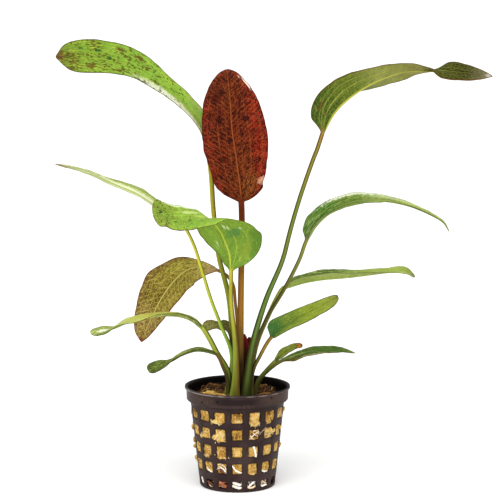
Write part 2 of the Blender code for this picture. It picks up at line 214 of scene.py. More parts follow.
def on_circle(reach: Any, angle: Any, height: Any) -> np.ndarray:
    """Points at that reach from the upright axis, that angle round it and that height."""
    x, y = reach * np.cos(angle), reach * np.sin(angle)
    return np.stack(np.broadcast_arrays(x, y, height), -1)


def enlist(piece: Piece, material: bpy.types.Material, slot: str, *nodes: str) -> None:
    """Gives a piece its material, hangs it on the body and says which nodes it stands for."""
    piece.data.materials.clear()
    piece.data.materials.append(material)
    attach(piece, BODY)
    if nodes:
        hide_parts(*nodes)
    triangles = sum(len(face.vertices) - 2 for face in piece.data.polygons)
    LOG.info("%s: %d triangles, for %s", piece.name, triangles, ", ".join(nodes) or "no node")


# Graph: building materials ------------------------------------------------------------------------


class Value:
    """A socket whose value changes over the surface; arithmetic on it adds nodes to its graph."""

    def __init__(self, graph: "Graph", socket: bpy.types.NodeSocket) -> None:
        """Keeps the socket and the graph that it is in."""
        self.graph = graph
        self.socket = socket

    def __add__(self, other: Any) -> "Value":
        """The sum."""
        return self.graph.math("ADD", self, other)

    def __sub__(self, other: Any) -> "Value":
        """The difference."""
        return self.graph.math("SUBTRACT", self, other)

    def __rsub__(self, other: Any) -> "Value":
        """The difference, with a plain number first."""
        return self.graph.math("SUBTRACT", other, self)

    def __mul__(self, other: Any) -> "Value":
        """The product."""
        return self.graph.math("MULTIPLY", self, other)

    def __truediv__(self, other: Any) -> "Value":
        """The quotient."""
        return self.graph.math("DIVIDE", self, other)

    def __abs__(self) -> "Value":
        """The value without its sign."""
        return self.graph.math("ABSOLUTE", self)


class Graph:
    """Adds and joins the nodes of one material or node group."""

    def __init__(self, tree: bpy.types.NodeTree) -> None:
        """Starts on an empty tree."""
        self.tree = tree
        tree.nodes.clear()

    def feed(self, socket: bpy.types.NodeSocket, value: Any) -> None:
        """Joins a value to the input, or sets the input to a number, a vector or a colour."""
        if isinstance(value, Value):
            self.tree.links.new(value.socket, socket)
        elif socket.type == "RGBA":
            socket.default_value = (*value, 1)
        else:
            socket.default_value = value

    def put(self, kind: str, given: dict[Any, Any], output: Any = 0, **settings: Any) -> Value:
        """Adds a node and gives one of its outputs.

        Args:
            kind: Kind of shader node.
            given: What each input is fed, by its name or number.
            output: Name or number of the output.
            settings: The node's own settings.

        Returns:
            The output.
        """
        node = self.tree.nodes.new("ShaderNode" + kind)
        for key, value in settings.items():
            setattr(node, key, value)
        for key, value in given.items():
            self.feed(node.inputs[key], value)
        return Value(self, node.outputs[output])

    def math(self, operation: str, *values: Any) -> Value:
        """The result of one sum on numbers."""
        return self.put("Math", dict(enumerate(values)), operation=operation)

    def most(self, first: Value, *others: Value) -> Value:
        """The greatest of several values."""
        for other in others:
            first = self.math("MAXIMUM", first, other)
        return first

    def rise(self, value: Value, low: float, high: float,
             to: tuple[float, float] = (0, 1)) -> Value:
        """A smooth step of the value from low to high; with low above high it is a fall."""
        if low > high:
            low, high, to = high, low, (to[1], to[0])
        return self.put("MapRange", dict(enumerate((value, low, high, *to))),
                        interpolation_type="SMOOTHSTEP")

    def blend(self, share: Any, first: Any, second: Any, way: str = "MIX") -> Value:
        """One colour laid over another."""
        return self.put("Mix", {0: share, 6: first, 7: second}, 2, data_type="RGBA", blend_type=way)

    def wash(self, mask: Value, colour: Value, laid: Wash) -> Value:
        """The colour with a wash laid over it where the mask is."""
        return self.blend(mask * laid[3], colour, laid[:3])

    def ramp(self, value: Value, *stops: Stop) -> Value:
        """A colour that runs through the stops."""
        found = self.put("ValToRGB", {0: value})
        ramp = found.socket.node.color_ramp
        ramp.interpolation = "EASE"
        for k, (place, *colour) in enumerate(stops):
            element = ramp.elements[k] if k < 2 else ramp.elements.new(place)
            element.position = place
            element.color = (*colour, 1)
        return found

    def noise(self, place: Any, scale: Any, detail: float = 2, roughness: float = 0.5,
              distortion: float = 0) -> Value:
        """Cloudy noise from 0 to 1."""
        return self.put("TexNoise", {"Vector": place, "Scale": scale, "Detail": detail,
                                     "Roughness": roughness, "Distortion": distortion})

    def cells(self, place: Any, scale: float, feature: str = "F1", flat: bool = False) -> Value:
        """Distance in a pattern of cells."""
        return self.put("TexVoronoi", {"Vector": place, "Scale": scale}, "Distance",
                        feature=feature, voronoi_dimensions="2D" if flat else "3D")

    def distance(self, place: Value, other: Point) -> Value:
        """How far a place is from a point."""
        return self.put("VectorMath", {0: place, 1: other}, "Value", operation="DISTANCE")

    def split(self, vector: Value) -> list[Value]:
        """The three numbers of a vector."""
        node = self.put("SeparateXYZ", {0: vector}).socket.node
        return [Value(self, socket) for socket in node.outputs]

    def vector(self, x: Any, y: Any, z: Any = 0) -> Value:
        """A vector of three numbers."""
        return self.put("CombineXYZ", {0: x, 1: y, 2: z})

    def scaled(self, vector: Value, scale: Point) -> Value:
        """A vector scaled along each axis."""
        return self.put("Mapping", {"Vector": vector, "Scale": scale})

    def attribute(self, name: str, output: str = "Fac") -> Value:
        """What was noted on the mesh under that name."""
        return self.put("Attribute", {}, output, attribute_name=name)

    def solid_place(self) -> Value:
        """The place on the piece, in its own metres."""
        return self.put("TexCoord", {}, "Object")

    def group(self, tree: bpy.types.NodeTree, **given: Any) -> dict[str, Value]:
        """Places a node group, fed with those values, and gives its outputs by name."""
        node = self.put("Group", {}, node_tree=tree).socket.node
        for key, value in given.items():
            self.feed(node.inputs[key], value)
        return {socket.name: Value(self, socket) for socket in node.outputs}

    def bump(self, height: Value, distance: float, strength: float) -> Value:
        """A normal raised by the height, over a distance in millimetres."""
        return self.put("Bump", {"Height": height, "Distance": distance * MM, "Strength": strength})


class Paint:
    """A material in the making: its graph and the sockets of its shader."""

    def __init__(self, name: str, **constants: float) -> None:
        """Makes the material, and sets on the shader what is the same all over."""
        self.material = bpy.data.materials.new(name)
        self.material.use_nodes = True
        self.graph = Graph(self.material.node_tree)
        shader = self.graph.put("BsdfPrincipled", {})
        self.sockets = shader.socket.node.inputs
        output = self.graph.tree.nodes.new("ShaderNodeOutputMaterial")
        self.graph.feed(output.inputs["Surface"], shader)
        self.set(Metallic=0, **constants)

    def set(self, **values: Any) -> bpy.types.Material:
        """Feeds sockets of the shader, named with _ for each space, and gives the material."""
        for key, value in values.items():
            self.graph.feed(self.sockets[key.replace("_", " ")], value)
        return self.material


def new_group(name: str, takes: str, gives: str) -> tuple[Graph, dict[str, Value], Any]:
    """An empty shader node group.

    Args:
        name: Name of the group.
        takes: Names of its inputs: Skin is a vector and the others are numbers.
        gives: Names of its outputs, all numbers.

    Returns:
        The group's graph, its inputs by name and the sockets that its outputs are fed by.
    """
    tree = bpy.data.node_groups.new(name, "ShaderNodeTree")
    graph = Graph(tree)
    for side, keys in (("INPUT", takes), ("OUTPUT", gives)):
        for key in keys.split():
            kind = "NodeSocketVector" if key == "Skin" else "NodeSocketFloat"
            tree.interface.new_socket(name=key, in_out=side, socket_type=kind)
    inputs = tree.nodes.new("NodeGroupInput").outputs
    given = {socket.name: Value(graph, socket) for socket in inputs}
    return graph, given, tree.nodes.new("NodeGroupOutput").inputs


class Effects:
    """The node groups that several materials share, each made once."""

    def __init__(self) -> None:
        """Makes every group."""
        self.veins = self.make_veins()
        self.flecks = self.make_flecks()
        self.mottle = self.make_mottle()

    @staticmethod
    def make_veins() -> bpy.types.NodeTree:
        """Midrib, arching side veins, slanting cross veins, lengthwise lines and net of a leaf."""
        graph, given, out = new_group(
            "leaf veins", "Across Along Half Run Width Spacing Lines First Second Third",
            "Midrib Side Cross Line Net Height")
        place, along, half, run = (given[key] for key in ("Across", "Along", "Half", "Run"))
        across = abs(place)
        off = across * half
        slim = graph.rise(half, 2, 12, (0.42, 1))
        width = given["Width"] * slim * graph.rise(along, 1, 0.1, (0.45, 1))
        spread = graph.math("POWER", graph.math("MINIMUM", along / 0.24, 1), 0.5)
        close = graph.rise(along, 0.55, 1, (1, 0.86))
        bent = across + (graph.noise(graph.vector(place, run), 0.09) * 0.05 - 0.025)
        arcs = []
        for key, strength in (("First", 1), ("Second", 0.75), ("Third", 0.5)):
            apart = abs(bent - given[key] * spread * close) * half
            arcs.append(graph.rise(apart / width, 0.85, 0.2) * strength)
        vein_fade_and_lit_sides = graph.rise(graph.noise(graph.vector(place, run * 0.09), 1), 0.3, 0.62, (0.35, 1))
        side = graph.most(*arcs) * vein_fade_and_lit_sides
        waver = graph.noise(graph.vector(off, run, place), 0.35)
        flank = graph.math("GREATER_THAN", place, 0) * given["Spacing"] * 0.4
        slant = run + flank - off * 0.85 + waver * 2.4
        gap = graph.math("PINGPONG", slant, given["Spacing"] * 0.5)
        broken = graph.rise(graph.noise(graph.vector(place, run), 0.7, 1), 0.35, 0.6)
        cross = graph.rise(gap, 0.4, 0.12) * broken
        lane = graph.math("PINGPONG", bent * given["Lines"], 0.5) * half / given["Lines"]
        line = graph.rise(lane / slim, 0.24, 0.05)
        laid = graph.vector(place * half * 0.8, run * 0.5)
        meshes = graph.cells(laid, 1, "DISTANCE_TO_EDGE", True)
        drawn = {"Midrib": graph.rise(off / (width * 1.5), 1, 0.45), "Side": side, "Cross": cross,
                 "Line": line, "Net": graph.rise(meshes, 0.14, 0.02)}
        raised = zip(drawn.values(), (1, 0.7, 0.3, 0.25, 0.16))
        drawn["Height"] = graph.most(*(vein * height for vein, height in raised))
        for key, value in drawn.items():
            graph.feed(out[key], value)
        return graph.tree

    @staticmethod
    def make_flecks() -> bpy.types.NodeTree:
        """Flecks drawn out along the leaf; more of it is covered as Cover rises from 0 to 1."""
        graph, given, out = new_group("leaf flecks", "Skin Scale Length Cover", "Mask")
        x, y, z = graph.split(given["Skin"])
        laid = graph.vector(x * given["Scale"], y * given["Scale"] / given["Length"], z)
        cloud = graph.noise(laid, 0.28, 1) * 0.3 + graph.noise(laid, 1, 3, 0.55, 0.3) * 0.7
        graph.feed(out["Mask"], graph.rise(cloud + given["Cover"] * 0.32, 0.66, 0.682))
        return graph.tree

    @staticmethod
    def make_mottle() -> bpy.types.NodeTree:
        """A brightness that varies in broad clouds and fine grain about 1, by Depth."""
        graph, given, out = new_group("mottle", "Skin Scale Depth", "Factor Grain")
        broad = graph.noise(given["Skin"], given["Scale"], 2, 0.5, 0.4)
        grain = graph.noise(given["Skin"], given["Scale"] * 9, 2, 0.6)
        centred = (broad * 0.55 + grain * 0.45 - 0.5) * given["Depth"] * 2.6
        graph.feed(out["Factor"], centred + 1)
        graph.feed(out["Grain"], grain)
        return graph.tree


# Leaves: shapes -----------------------------------------------------------------------------------


def smooth_line(points: Sequence[Point], steps_each: int) -> np.ndarray:
    """A smooth line through the points, with as many steps between each pair.

    Args:
        points: The points that it passes through.
        steps_each: Steps from each point to the next.

    Returns:
        The points of the line, one a row.
    """
    known = np.array(points, float)
    ends = [2 * known[0] - known[1], *known, 2 * known[-1] - known[-2]]
    line = []
    for before, start, end, after in zip(ends, ends[1:], ends[2:], ends[3:]):
        t1 = np.linalg.norm(start - before) ** 0.5
        t2 = t1 + np.linalg.norm(end - start) ** 0.5
        t3 = t2 + np.linalg.norm(after - end) ** 0.5
        for step in range(steps_each):
            t = t1 + (t2 - t1) * step / steps_each
            a1 = before + (start - before) * t / t1
            a2 = start + (end - start) * (t - t1) / (t2 - t1)
            a3 = end + (after - end) * (t - t2) / (t3 - t2)
            b1 = a1 + (a2 - a1) * t / t2
            b2 = a2 + (a3 - a2) * (t - t1) / (t3 - t1)
            line.append(b1 + (b2 - b1) * (t - t1) / (t2 - t1))
    return np.array([*line, known[-1]])


def read_line(line: np.ndarray, known: np.ndarray, places: np.ndarray) -> np.ndarray:
    """The points of a line at other places than the known ones."""
    return np.stack([np.interp(places, known, axis) for axis in line.T], 1)


def between(rows: Sequence[Sequence[float]], place: float) -> list[float]:
    """What the rows hold at that place, along a smooth curve through them.

    Args:
        rows: A place and its values in each, in rising order of place.
        place: Where to read the curve.

    Returns:
        The values there.
    """
    last = len(rows) - 1
    after = max(next((k for k, row in enumerate(rows) if place <= row[0]), last), 1)
    near = [rows[max(after - 2, 0)], rows[after - 1], rows[after], rows[min(after + 1, last)]]
    low, high = near[1], near[2]
    span = high[0] - low[0]
    t = (place - low[0]) / span
    found = []
    for k in range(1, len(low)):
        slopes = [(near[i + 2][k] - near[i][k]) / (near[i + 2][0] - near[i][0]) * span
                  for i in (0, 1)]
        ends = (2 * t**3 - 3 * t**2 + 1) * low[k] + (3 * t**2 - 2 * t**3) * high[k]
        found.append(ends + (t**3 - 2 * t**2 + t) * slopes[0] + (t**3 - t**2) * slopes[1])
    return found


@dataclass(frozen=True)
class LeafShape:
    """How one leaf runs, from its foot in the crown to its tip.

    The blade begins at route[neck]. Each row of the blade holds a place along it from 0 to 1, the
    widths of its near and far halves, its turn about the midrib and the fold of its halves.
    """

    lean: float
    stalk: tuple[float, float]  # thickness at the foot and at the neck
    neck: int
    route: tuple[Point, ...]
    blade: tuple[tuple[float, ...], ...]
    ripple: float
    wave: float
    bulge: float
    fineness: tuple[int, int, int]  # faces across half the girth, along the blade, along the stalk
    fray: float = 0.12
    base: float = 0.05  # share of the blade over which the round stalk flattens


class Leaf:
    """One leaf with its stalk, as a single closed skin."""

    SPINE_STEPS = 24
    DIRECTION_REACH = 1.6  # before and behind a section, to tell its direction
    RIM_THICKNESS = 0.07
    BODY_THICKNESS = 0.22
    LEAST_THICKNESS = 0.04
    KEEL_DEPTH = 1.2
    GROOVE_DEPTH = 0.22
    GROOVE_WIDTH = 0.55
    SHEATH = 0.25  # how much wider the stalk is at its foot
    SHEATH_SHARE = 0.16
    FRAY_SIZE = 3.2
    QUILT_SIZE = 3.4
    LEAST_HALF, TIP_HALF = 0.12, 0.25  # least width of a half, and what it has more off the tip
    RIDGE = 0.05  # of the stalk's radius
    SPACING = 1.15  # above 1, points stand wider apart at the rims
    SMOOTH_ANGLE = 75

    def __init__(self, name: str, slot: str, shape: LeafShape, finish: "LeafFinish") -> None:
        """Keeps what the leaf is made from."""
        self.name = name
        self.slot = slot
        self.shape = shape
        self.finish = finish
        self.seed = sum(ord(letter) for letter in name) % 97

    def stations(self) -> tuple[np.ndarray, ...]:
        """Where each section is along the leaf.

        Returns:
            Points, directions, share of the stalk, share of the blade and run from its base.
        """
        shape = self.shape
        line = smooth_line(shape.route, self.SPINE_STEPS)
        run = np.concatenate([[0], np.cumsum(np.linalg.norm(np.diff(line, axis=0), axis=1))])
        neck = run[shape.neck * self.SPINE_STEPS]
        _, blade_faces, stalk_faces = shape.fineness
        even = np.linspace(0, 1, blade_faces + 1)
        along = 0.5 * (1 - np.cos(pi * even)) / 2 + 0.5 * even  # closer towards both ends
        stalk = np.arange(stalk_faces) / stalk_faces
        length = np.concatenate([neck * stalk, neck + (run[-1] - neck) * along])
        ahead = np.minimum(length + self.DIRECTION_REACH, run[-1])
        behind = np.maximum(length - self.DIRECTION_REACH, 0)
        direction = read_line(line, run, ahead) - read_line(line, run, behind)
        direction /= np.linalg.norm(direction, axis=1)[:, None]
        return (read_line(line, run, length), direction,
                np.concatenate([stalk, np.ones_like(along)])[:, None],
                np.concatenate([np.zeros_like(stalk), along])[:, None], (length - neck)[:, None])

    def frames(self, direction: np.ndarray, turn: np.ndarray) -> tuple[np.ndarray, np.ndarray]:
        """The side and upper directions of each section."""
        lean = radians(self.shape.lean)
        across = np.array([-sin(lean), cos(lean), 0])
        across = across - direction * (direction @ across)[:, None]
        across /= np.linalg.norm(across, axis=1)[:, None]
        face = np.cross(direction, across)
        c, s = np.cos(turn), np.sin(turn)
        return across * c + face * s, face * c - across * s

    def ring(self) -> tuple[np.ndarray, np.ndarray, np.ndarray]:
        """One section's points: place across from -1 to 1, angle, and 1 above or 0 beneath."""
        half = self.shape.fineness[0]
        share = np.arange(half + 1) / half
        spaced = np.sign(2 * share - 1) * np.abs(2 * share - 1) ** self.SPACING
        over = np.where((share == 0) | (share == 1), 0.5, 1)
        place = np.concatenate([spaced, -spaced[1:]])
        angle = np.concatenate([pi * (1 - share), -pi * share[1:]])
        return place, angle, np.concatenate([over, 1 - over[1:]])

    def lift(self, q: np.ndarray, half: np.ndarray, along: np.ndarray,
             run: np.ndarray) -> np.ndarray:
        """How far the blade stands off its folded plane: crowned halves and rippled margins."""
        shape, off = self.shape, np.abs(q)
        crown = (off - q * q) * 4 * shape.bulge * half
        envelope = ease(0.02, 0.16, along) * ease(1, 0.86, along)
        phase = np.where(q < 0, 0, 2.1) + self.seed
        wave = np.sin(tau * run / shape.wave + phase)
        wave = wave + 0.45 * np.sin(tau * run / (0.43 * shape.wave) + 2 * phase)
        quilt = 0.12 * np.sin(tau * (run - off * half * 0.85) / self.QUILT_SIZE) * np.sin(pi * off)
        return crown + envelope * shape.ripple * (off**3 * wave + quilt)

    def thickness(self, q: np.ndarray, reach: np.ndarray, along: np.ndarray, radius: np.ndarray,
                  above: np.ndarray) -> np.ndarray:
        """How far each point stands off the middle of the blade: groove above and keel beneath."""
        keel = radius * (1 - along) ** 0.6 + 0.12 * along
        thick = self.RIM_THICKNESS + (self.BODY_THICKNESS - self.RIM_THICKNESS) * (1 - q**4)
        thick = thick * ease(1.02, 0.9, along) + self.LEAST_THICKNESS
        groove = self.GROOVE_DEPTH * np.exp(-((reach / self.GROOVE_WIDTH) ** 2)) * (1 - along)
        rib = keel * self.KEEL_DEPTH * np.exp(-((reach / (0.8 * keel + 0.05)) ** 2))
        off = np.where(above >= 0.5, thick - groove, -thick - rib)
        return np.where(above == 0.5, 0, off)

    def skin(self) -> tuple[np.ndarray, dict[str, np.ndarray]]:
        """Every point of the leaf's skin.

        Returns:
            Points in millimetres by section and place in the ring, and what is noted on each: its
            place (across, along, above), its size (width of the half, run from the base, share of
            the stalk) and how far to the stalk's left, -1, or right, 1, it is.
        """
        shape = self.shape
        point, direction, stalk, along, run = self.stations()
        q, angle, above = self.ring()
        rows = np.array([between(shape.blade, place) for place in along[:, 0]])
        near, far, turn, fold = rows.T[..., None]
        fold = np.radians(fold)
        side, upper = self.frames(direction, np.radians(turn))
        foot, neck = shape.stalk
        radius = (neck + (foot - neck) * (1 - stalk) ** 3) / 2
        flat = np.minimum(along / shape.base, 1)
        grown = 1 + self.SHEATH * (1 - ease(0, self.SHEATH_SHARE, stalk))
        fray = lumps(run, 0, (0, 40), self.FRAY_SIZE, self.seed)
        fray = np.where(q < 0, fray[:, :1], fray[:, 1:]) * ease(0.03, 0.1, along)
        half = np.where(q < 0, near, far) + shape.fray * fray
        half = np.maximum(half, self.LEAST_HALF + self.TIP_HALF * ease(1, 0.97, along))
        reach = q * half
        up = np.abs(reach) * np.sin(fold) + self.thickness(q, reach, along, radius, above)
        up = up + self.lift(q, half, along, run)
        ridge = 1 + self.RIDGE * np.cos(3 * angle)
        round_side = radius * grown * np.cos(angle) * ridge
        round_up = radius * np.sin(angle) * ridge
        out = round_side + (reach * np.cos(fold) - round_side) * flat
        rise = round_up + (up - round_up) * flat
        points = point[:, None] + side[:, None] * out[..., None] + upper[:, None] * rise[..., None]
        turned = radians(shape.lean + shape.blade[0][3])
        return points, {
            "leaf_place": np.stack(np.broadcast_arrays(q, along, above), -1),
            "leaf_size": np.stack(np.broadcast_arrays(half, run, stalk), -1),
            # stalk_side tells the stalk's left from its right, for the painted light and shade on
            # its sides
            "stalk_side": np.broadcast_to(-np.sin(angle + turned), out.shape)}

    def build(self, effects: Effects) -> None:
        """Rolls a grid up into the leaf and dresses it."""
        piece = Bench.roll(self.name + "_skin", *self.skin(), self.SMOOTH_ANGLE)
        enlist(piece, self.finish.material(self.name, effects, self.seed), self.slot, self.name)


# Leaves: finishes ---------------------------------------------------------------------------------


class Face(Enum):
    """The face of a blade that something is on."""

    ABOVE = "above"
    BENEATH = "beneath"
    BOTH = "both"


@dataclass(frozen=True)
class Patch:
    """A soft-edged patch on a blade, at a place across from -1 to 1 and along from 0 to 1."""

    colour: Colour
    across: float
    along: float
    wide: float
    long: float
    share: float
    face: Face


def marks(face: Face, *rows: tuple[float, ...]) -> tuple[Patch, ...]:
    """Patches on one face, each a row of its colour, place, half width, half length and share."""
    return tuple(Patch(row[:3], *row[3:], face) for row in rows)


@dataclass(frozen=True)
class Flecks:
    """Flecks of one colour on a blade, drawn out along it."""

    colour: Colour
    share: float
    cover: Any
    length: float
    scale: float = 2.4


LEAF_GLOSS = 0.025
SPOT_LENGTH, SPOT_SHARE = 1.5, 0.85


@dataclass(frozen=True)
class Spot:
    """What a leaf's material knows of a place on the leaf."""

    across: Value
    along: Value
    above: Value
    half: Value
    run: Value
    stalk: Value
    skin: Value
    ragged: Value
    fine: Value


@dataclass(frozen=True)
class LeafFinish:
    """Colours of a leaf from base to tip, above and beneath, with its veins, margin and flecks."""

    above: tuple[Stop, ...]
    beneath: tuple[Stop, ...]
    stalk: tuple[Stop, ...]
    vein: Colour
    margin: Colour
    fleck: Colour = (0.1, 0.035, 0.01)
    margin_width: float = 0.62
    margin_share: float = 0.9
    midrib_share: float = 0.7
    side_share: float = 0.5
    cross_share: float = 0.25
    line_share: float = 0.25
    net_share: float = 0.12
    vein_width: float = 0.5
    cross_spacing: float = 4
    lines: float = 6
    side_places: tuple[float, float, float] = (0.3, 0.56, 0.8)
    cover_above: float = 0
    cover_beneath: float = 0
    fleck_length: float = 2.2
    fleck_scale: float = 2.4
    fleck_share: float = 0.7
    fleck_start: float = -0.5
    spot_cover: float = 0
    spot_scale: float = 0.9
    mottle: float = 0.36
    light: Flecks | None = None
    # left and right: painted light and shade on the stalk's two sides, each a colour and its share
    left: Wash = (0.05, 0.06, 0.015, 0.5)
    right: Wash = (0.05, 0.06, 0.015, 0.5)
    streak: Wash = (0.12, 0.05, 0.015, 0.35)
    # tints go under the veins and flecks and patches over them; on some leaves a few of them are
    # painted highlights
    tints: tuple[Patch, ...] = ()
    patches: tuple[Patch, ...] = ()
    rib_reach: float = 2
    roughness: float = 0.4

    def blade_colour(self, graph: Graph, effects: Effects, at: Spot) -> tuple[Value, Value]:
        """The blade's colour, and the height of its veins.

        Args:
            graph: The material's graph.
            effects: The shared node groups.
            at: The place on the leaf.

        Returns:
            The colour and the height.
        """
        first, second, third = self.side_places
        veins = graph.group(effects.veins, Across=at.across, Along=at.along, Half=at.half,
                            Run=at.run, Width=self.vein_width, Spacing=self.cross_spacing,
                            Lines=self.lines, First=first, Second=second, Third=third)
        mottle = graph.group(effects.mottle, Skin=at.skin, Scale=0.22, Depth=self.mottle)
        colour = graph.blend(at.above, graph.ramp(at.along, *self.beneath),
                             graph.ramp(at.along, *self.above))
        colour = graph.blend(1, colour, graph.vector(*(mottle["Factor"],) * 3), "MULTIPLY")
        colour = self.with_patches(graph, at, colour, self.tints)
        for name, share in (("Net", self.net_share), ("Line", self.line_share)):
            if share:
                colour = graph.blend(veins[name] * share, colour, self.vein)
        start = self.fleck_start
        cover = graph.rise(at.above, 0, 1, (self.cover_beneath, self.cover_above))
        cover = cover * graph.rise(at.along, start, start + 0.4, (0.45, 1))
        laid = [(graph.scaled(at.skin, (-1, 1, 1)), self.light)] if self.light else []
        if self.cover_above or self.cover_beneath:
            laid.append((at.skin, Flecks(self.fleck, self.fleck_share, cover, self.fleck_length,
                                         self.fleck_scale)))
        if self.spot_cover:
            laid.append((at.skin, Flecks(self.fleck, SPOT_SHARE, self.spot_cover, SPOT_LENGTH,
                                         self.spot_scale)))
        for skin, flecks in laid:
            mask = graph.group(effects.flecks, Skin=skin, Scale=flecks.scale, Length=flecks.length,
                               Cover=flecks.cover)["Mask"]
            colour = graph.blend(mask * flecks.share, colour, flecks.colour)
        shown = graph.rise(at.along, self.rib_reach - 0.15, self.rib_reach + 0.15, (1, 0.1))
        for name, share in (("Cross", self.cross_share), ("Side", self.side_share),
                            ("Midrib", self.midrib_share)):
            if share:
                colour = graph.blend(veins[name] * share * shown, colour, self.vein)
        colour = self.with_patches(graph, at, colour, self.patches)
        uneven = graph.rise(mottle["Grain"], 0.3, 0.7, (0.7, 1.3))
        rim = (1 - abs(at.across)) * at.half / uneven
        rim = graph.rise(rim, self.margin_width, self.margin_width * 0.3) * self.margin_share
        return graph.blend(rim, colour, self.margin), veins["Height"]

    def with_patches(self, graph: Graph, at: Spot, colour: Value, laid: Sequence[Patch]) -> Value:
        """The colour with patches laid over it, one after another."""
        ragged = at.ragged * 0.8 + at.fine * 1.2
        for patch in laid:
            dx = (at.across - patch.across) / patch.wide
            dy = (at.along - patch.along) / patch.long
            apart = graph.math("SQRT", dx * dx + dy * dy) + ragged
            mask = graph.rise(apart, 2, 1.5) * patch.share
            if patch.face is not Face.BOTH:
                mask = mask * (at.above if patch.face is Face.ABOVE else 1 - at.above)
            colour = graph.blend(mask, colour, patch.colour)
        return colour

    def stalk_colour(self, graph: Graph, at: Spot) -> Value:
        """The stalk's colour, streaked lengthwise, with painted light and shade on its left and
        right sides.
        """
        colour = graph.ramp(at.stalk, *self.stalk)
        streaks = graph.noise(graph.vector(at.across * 2.6, at.run * 0.035, at.above), 1.6, 3, 0.6)
        colour = graph.wash(graph.rise(streaks, 0.5, 0.68), colour, self.streak)
        light = graph.blend(1, colour, (1.45, 1.4, 1.3), "MULTIPLY")
        colour = graph.blend(graph.rise(streaks, 0.48, 0.32) * 0.6, colour, light)
        # painted light and shade: the stalk's left and right sides take their own colours
        edge = graph.attribute("stalk_side") + (at.ragged * 0.3 - 0.15)
        colour = graph.wash(graph.rise(edge, -0.15, -0.85), colour, self.left)
        return graph.wash(graph.rise(edge, 0.15, 0.85), colour, self.right)

    def material(self, name: str, effects: Effects, seed: int) -> bpy.types.Material:
        """The leaf's material.

        Args:
            name: Name of the leaf.
            effects: The shared node groups.
            seed: Sets one leaf's pattern apart from the next.

        Returns:
            The material.
        """
        paint = Paint(name + " skin", Specular_IOR_Level=LEAF_GLOSS)
        graph = paint.graph
        across, along, above = graph.split(graph.attribute("leaf_place", "Vector"))
        half, run, stalk = graph.split(graph.attribute("leaf_size", "Vector"))
        above = graph.rise(above, 0.4, 0.6)
        skin = graph.vector(across * half, run, above * 31 + seed)
        ragged = graph.noise(skin, 0.3, 3, 0.6)
        at = Spot(across, along, above, half, run, stalk, skin, ragged, graph.noise(skin, 1.1))
        blade, height = self.blade_colour(graph, effects, at)
        on_stalk = graph.rise(along, 0.045, 0.004)
        relief = height * graph.rise(above, 0, 1, (1, -0.8)) * (1 - on_stalk)
        relief = relief + graph.noise(skin, 2.6, 3, 0.6) * 0.22
        ridges = graph.noise(graph.vector(across * 4, run * 0.05, above), 2.2)
        dull = (self.roughness - 0.07, self.roughness + 0.12)
        return paint.set(Base_Color=graph.blend(on_stalk, blade, self.stalk_colour(graph, at)),
                         Roughness=graph.rise(ragged, 0.25, 0.75, dull),
                         Normal=graph.bump(relief + ridges * on_stalk * 0.9, 0.25, 0.8))


# Leaves: tables -----------------------------------------------------------------------------------

BIG = (34, 124, 34)
SMALL = (20, 64, 24)
TALL_SPOTTED = LeafShape(
    lean=180, stalk=(2.9, 2.4), neck=4, fineness=BIG, ripple=0.14, wave=19, bulge=0.04,
    route=((-1.8, 4, 42.9), (-4.2, 5, 92), (-9.4, 8, 114), (-11.9, 10, 136), (-13.4, 10.5, 157),
        (-17, 9.5, 175), (-26, 7, 188.5), (-36, 2.5, 198), (-49.5, -4.5, 207), (-65, -14, 211.5),
        (-85.3, -26.4, 213)),
    blade=((0, 1, 1, -35, 55), (0.12, 4.6, 3.2, -38, 36), (0.2, 6.4, 4.4, -38, 26),
        (0.26, 6.4, 5, -39, 22), (0.32, 6, 5.6, -40, 18), (0.453, 6.3, 6.6, -45, 14),
        (0.616, 9, 7.3, -52, 14), (0.75, 9.5, 8.2, -56, 13), (0.85, 9.2, 9.3, -58, 12),
        (0.95, 6.5, 7.4, -60, 8), (1, 0.6, 0.6, -60, 5)))
TALL_RED = LeafShape(
    lean=90, stalk=(3.4, 3), neck=3, fineness=(38, 150, 34), ripple=0.55, wave=9, bulge=0.055,
    fray=0.3,
    route=((1.6, -1.5, 42.9), (1.8, -1.5, 93), (2.2, -1.5, 118), (2.1, -1, 141.2),
        (0, -0.5, 159.5), (-2.5, 0, 176.5), (-3.5, 1, 191), (-5, 3, 206)), base=0.014,
    blade=((0, 1.6, 1.6, 0, 14), (0.018, 4.3, 3, 0, 14), (0.042, 7.3, 5.6, 0, 14),
        (0.072, 9.8, 8.4, 0, 13), (0.101, 11.5, 10, 0, 13), (0.135, 11.8, 11.7, 0, 13),
        (0.16, 12.4, 12.4, 0, 12), (0.204, 13.8, 13, 0, 12), (0.267, 14.8, 13.6, 1, 12),
        (0.433, 17, 15.2, 2, 10), (0.59, 16.6, 14.7, 2, 10), (0.756, 13.7, 13.2, 3, 8),
        (0.883, 9.3, 9.8, 4, 8), (0.961, 5.3, 5.4, 4, 8), (0.985, 3.2, 3.2, 4, 8),
        (1, 0.8, 0.8, 4, 8)))
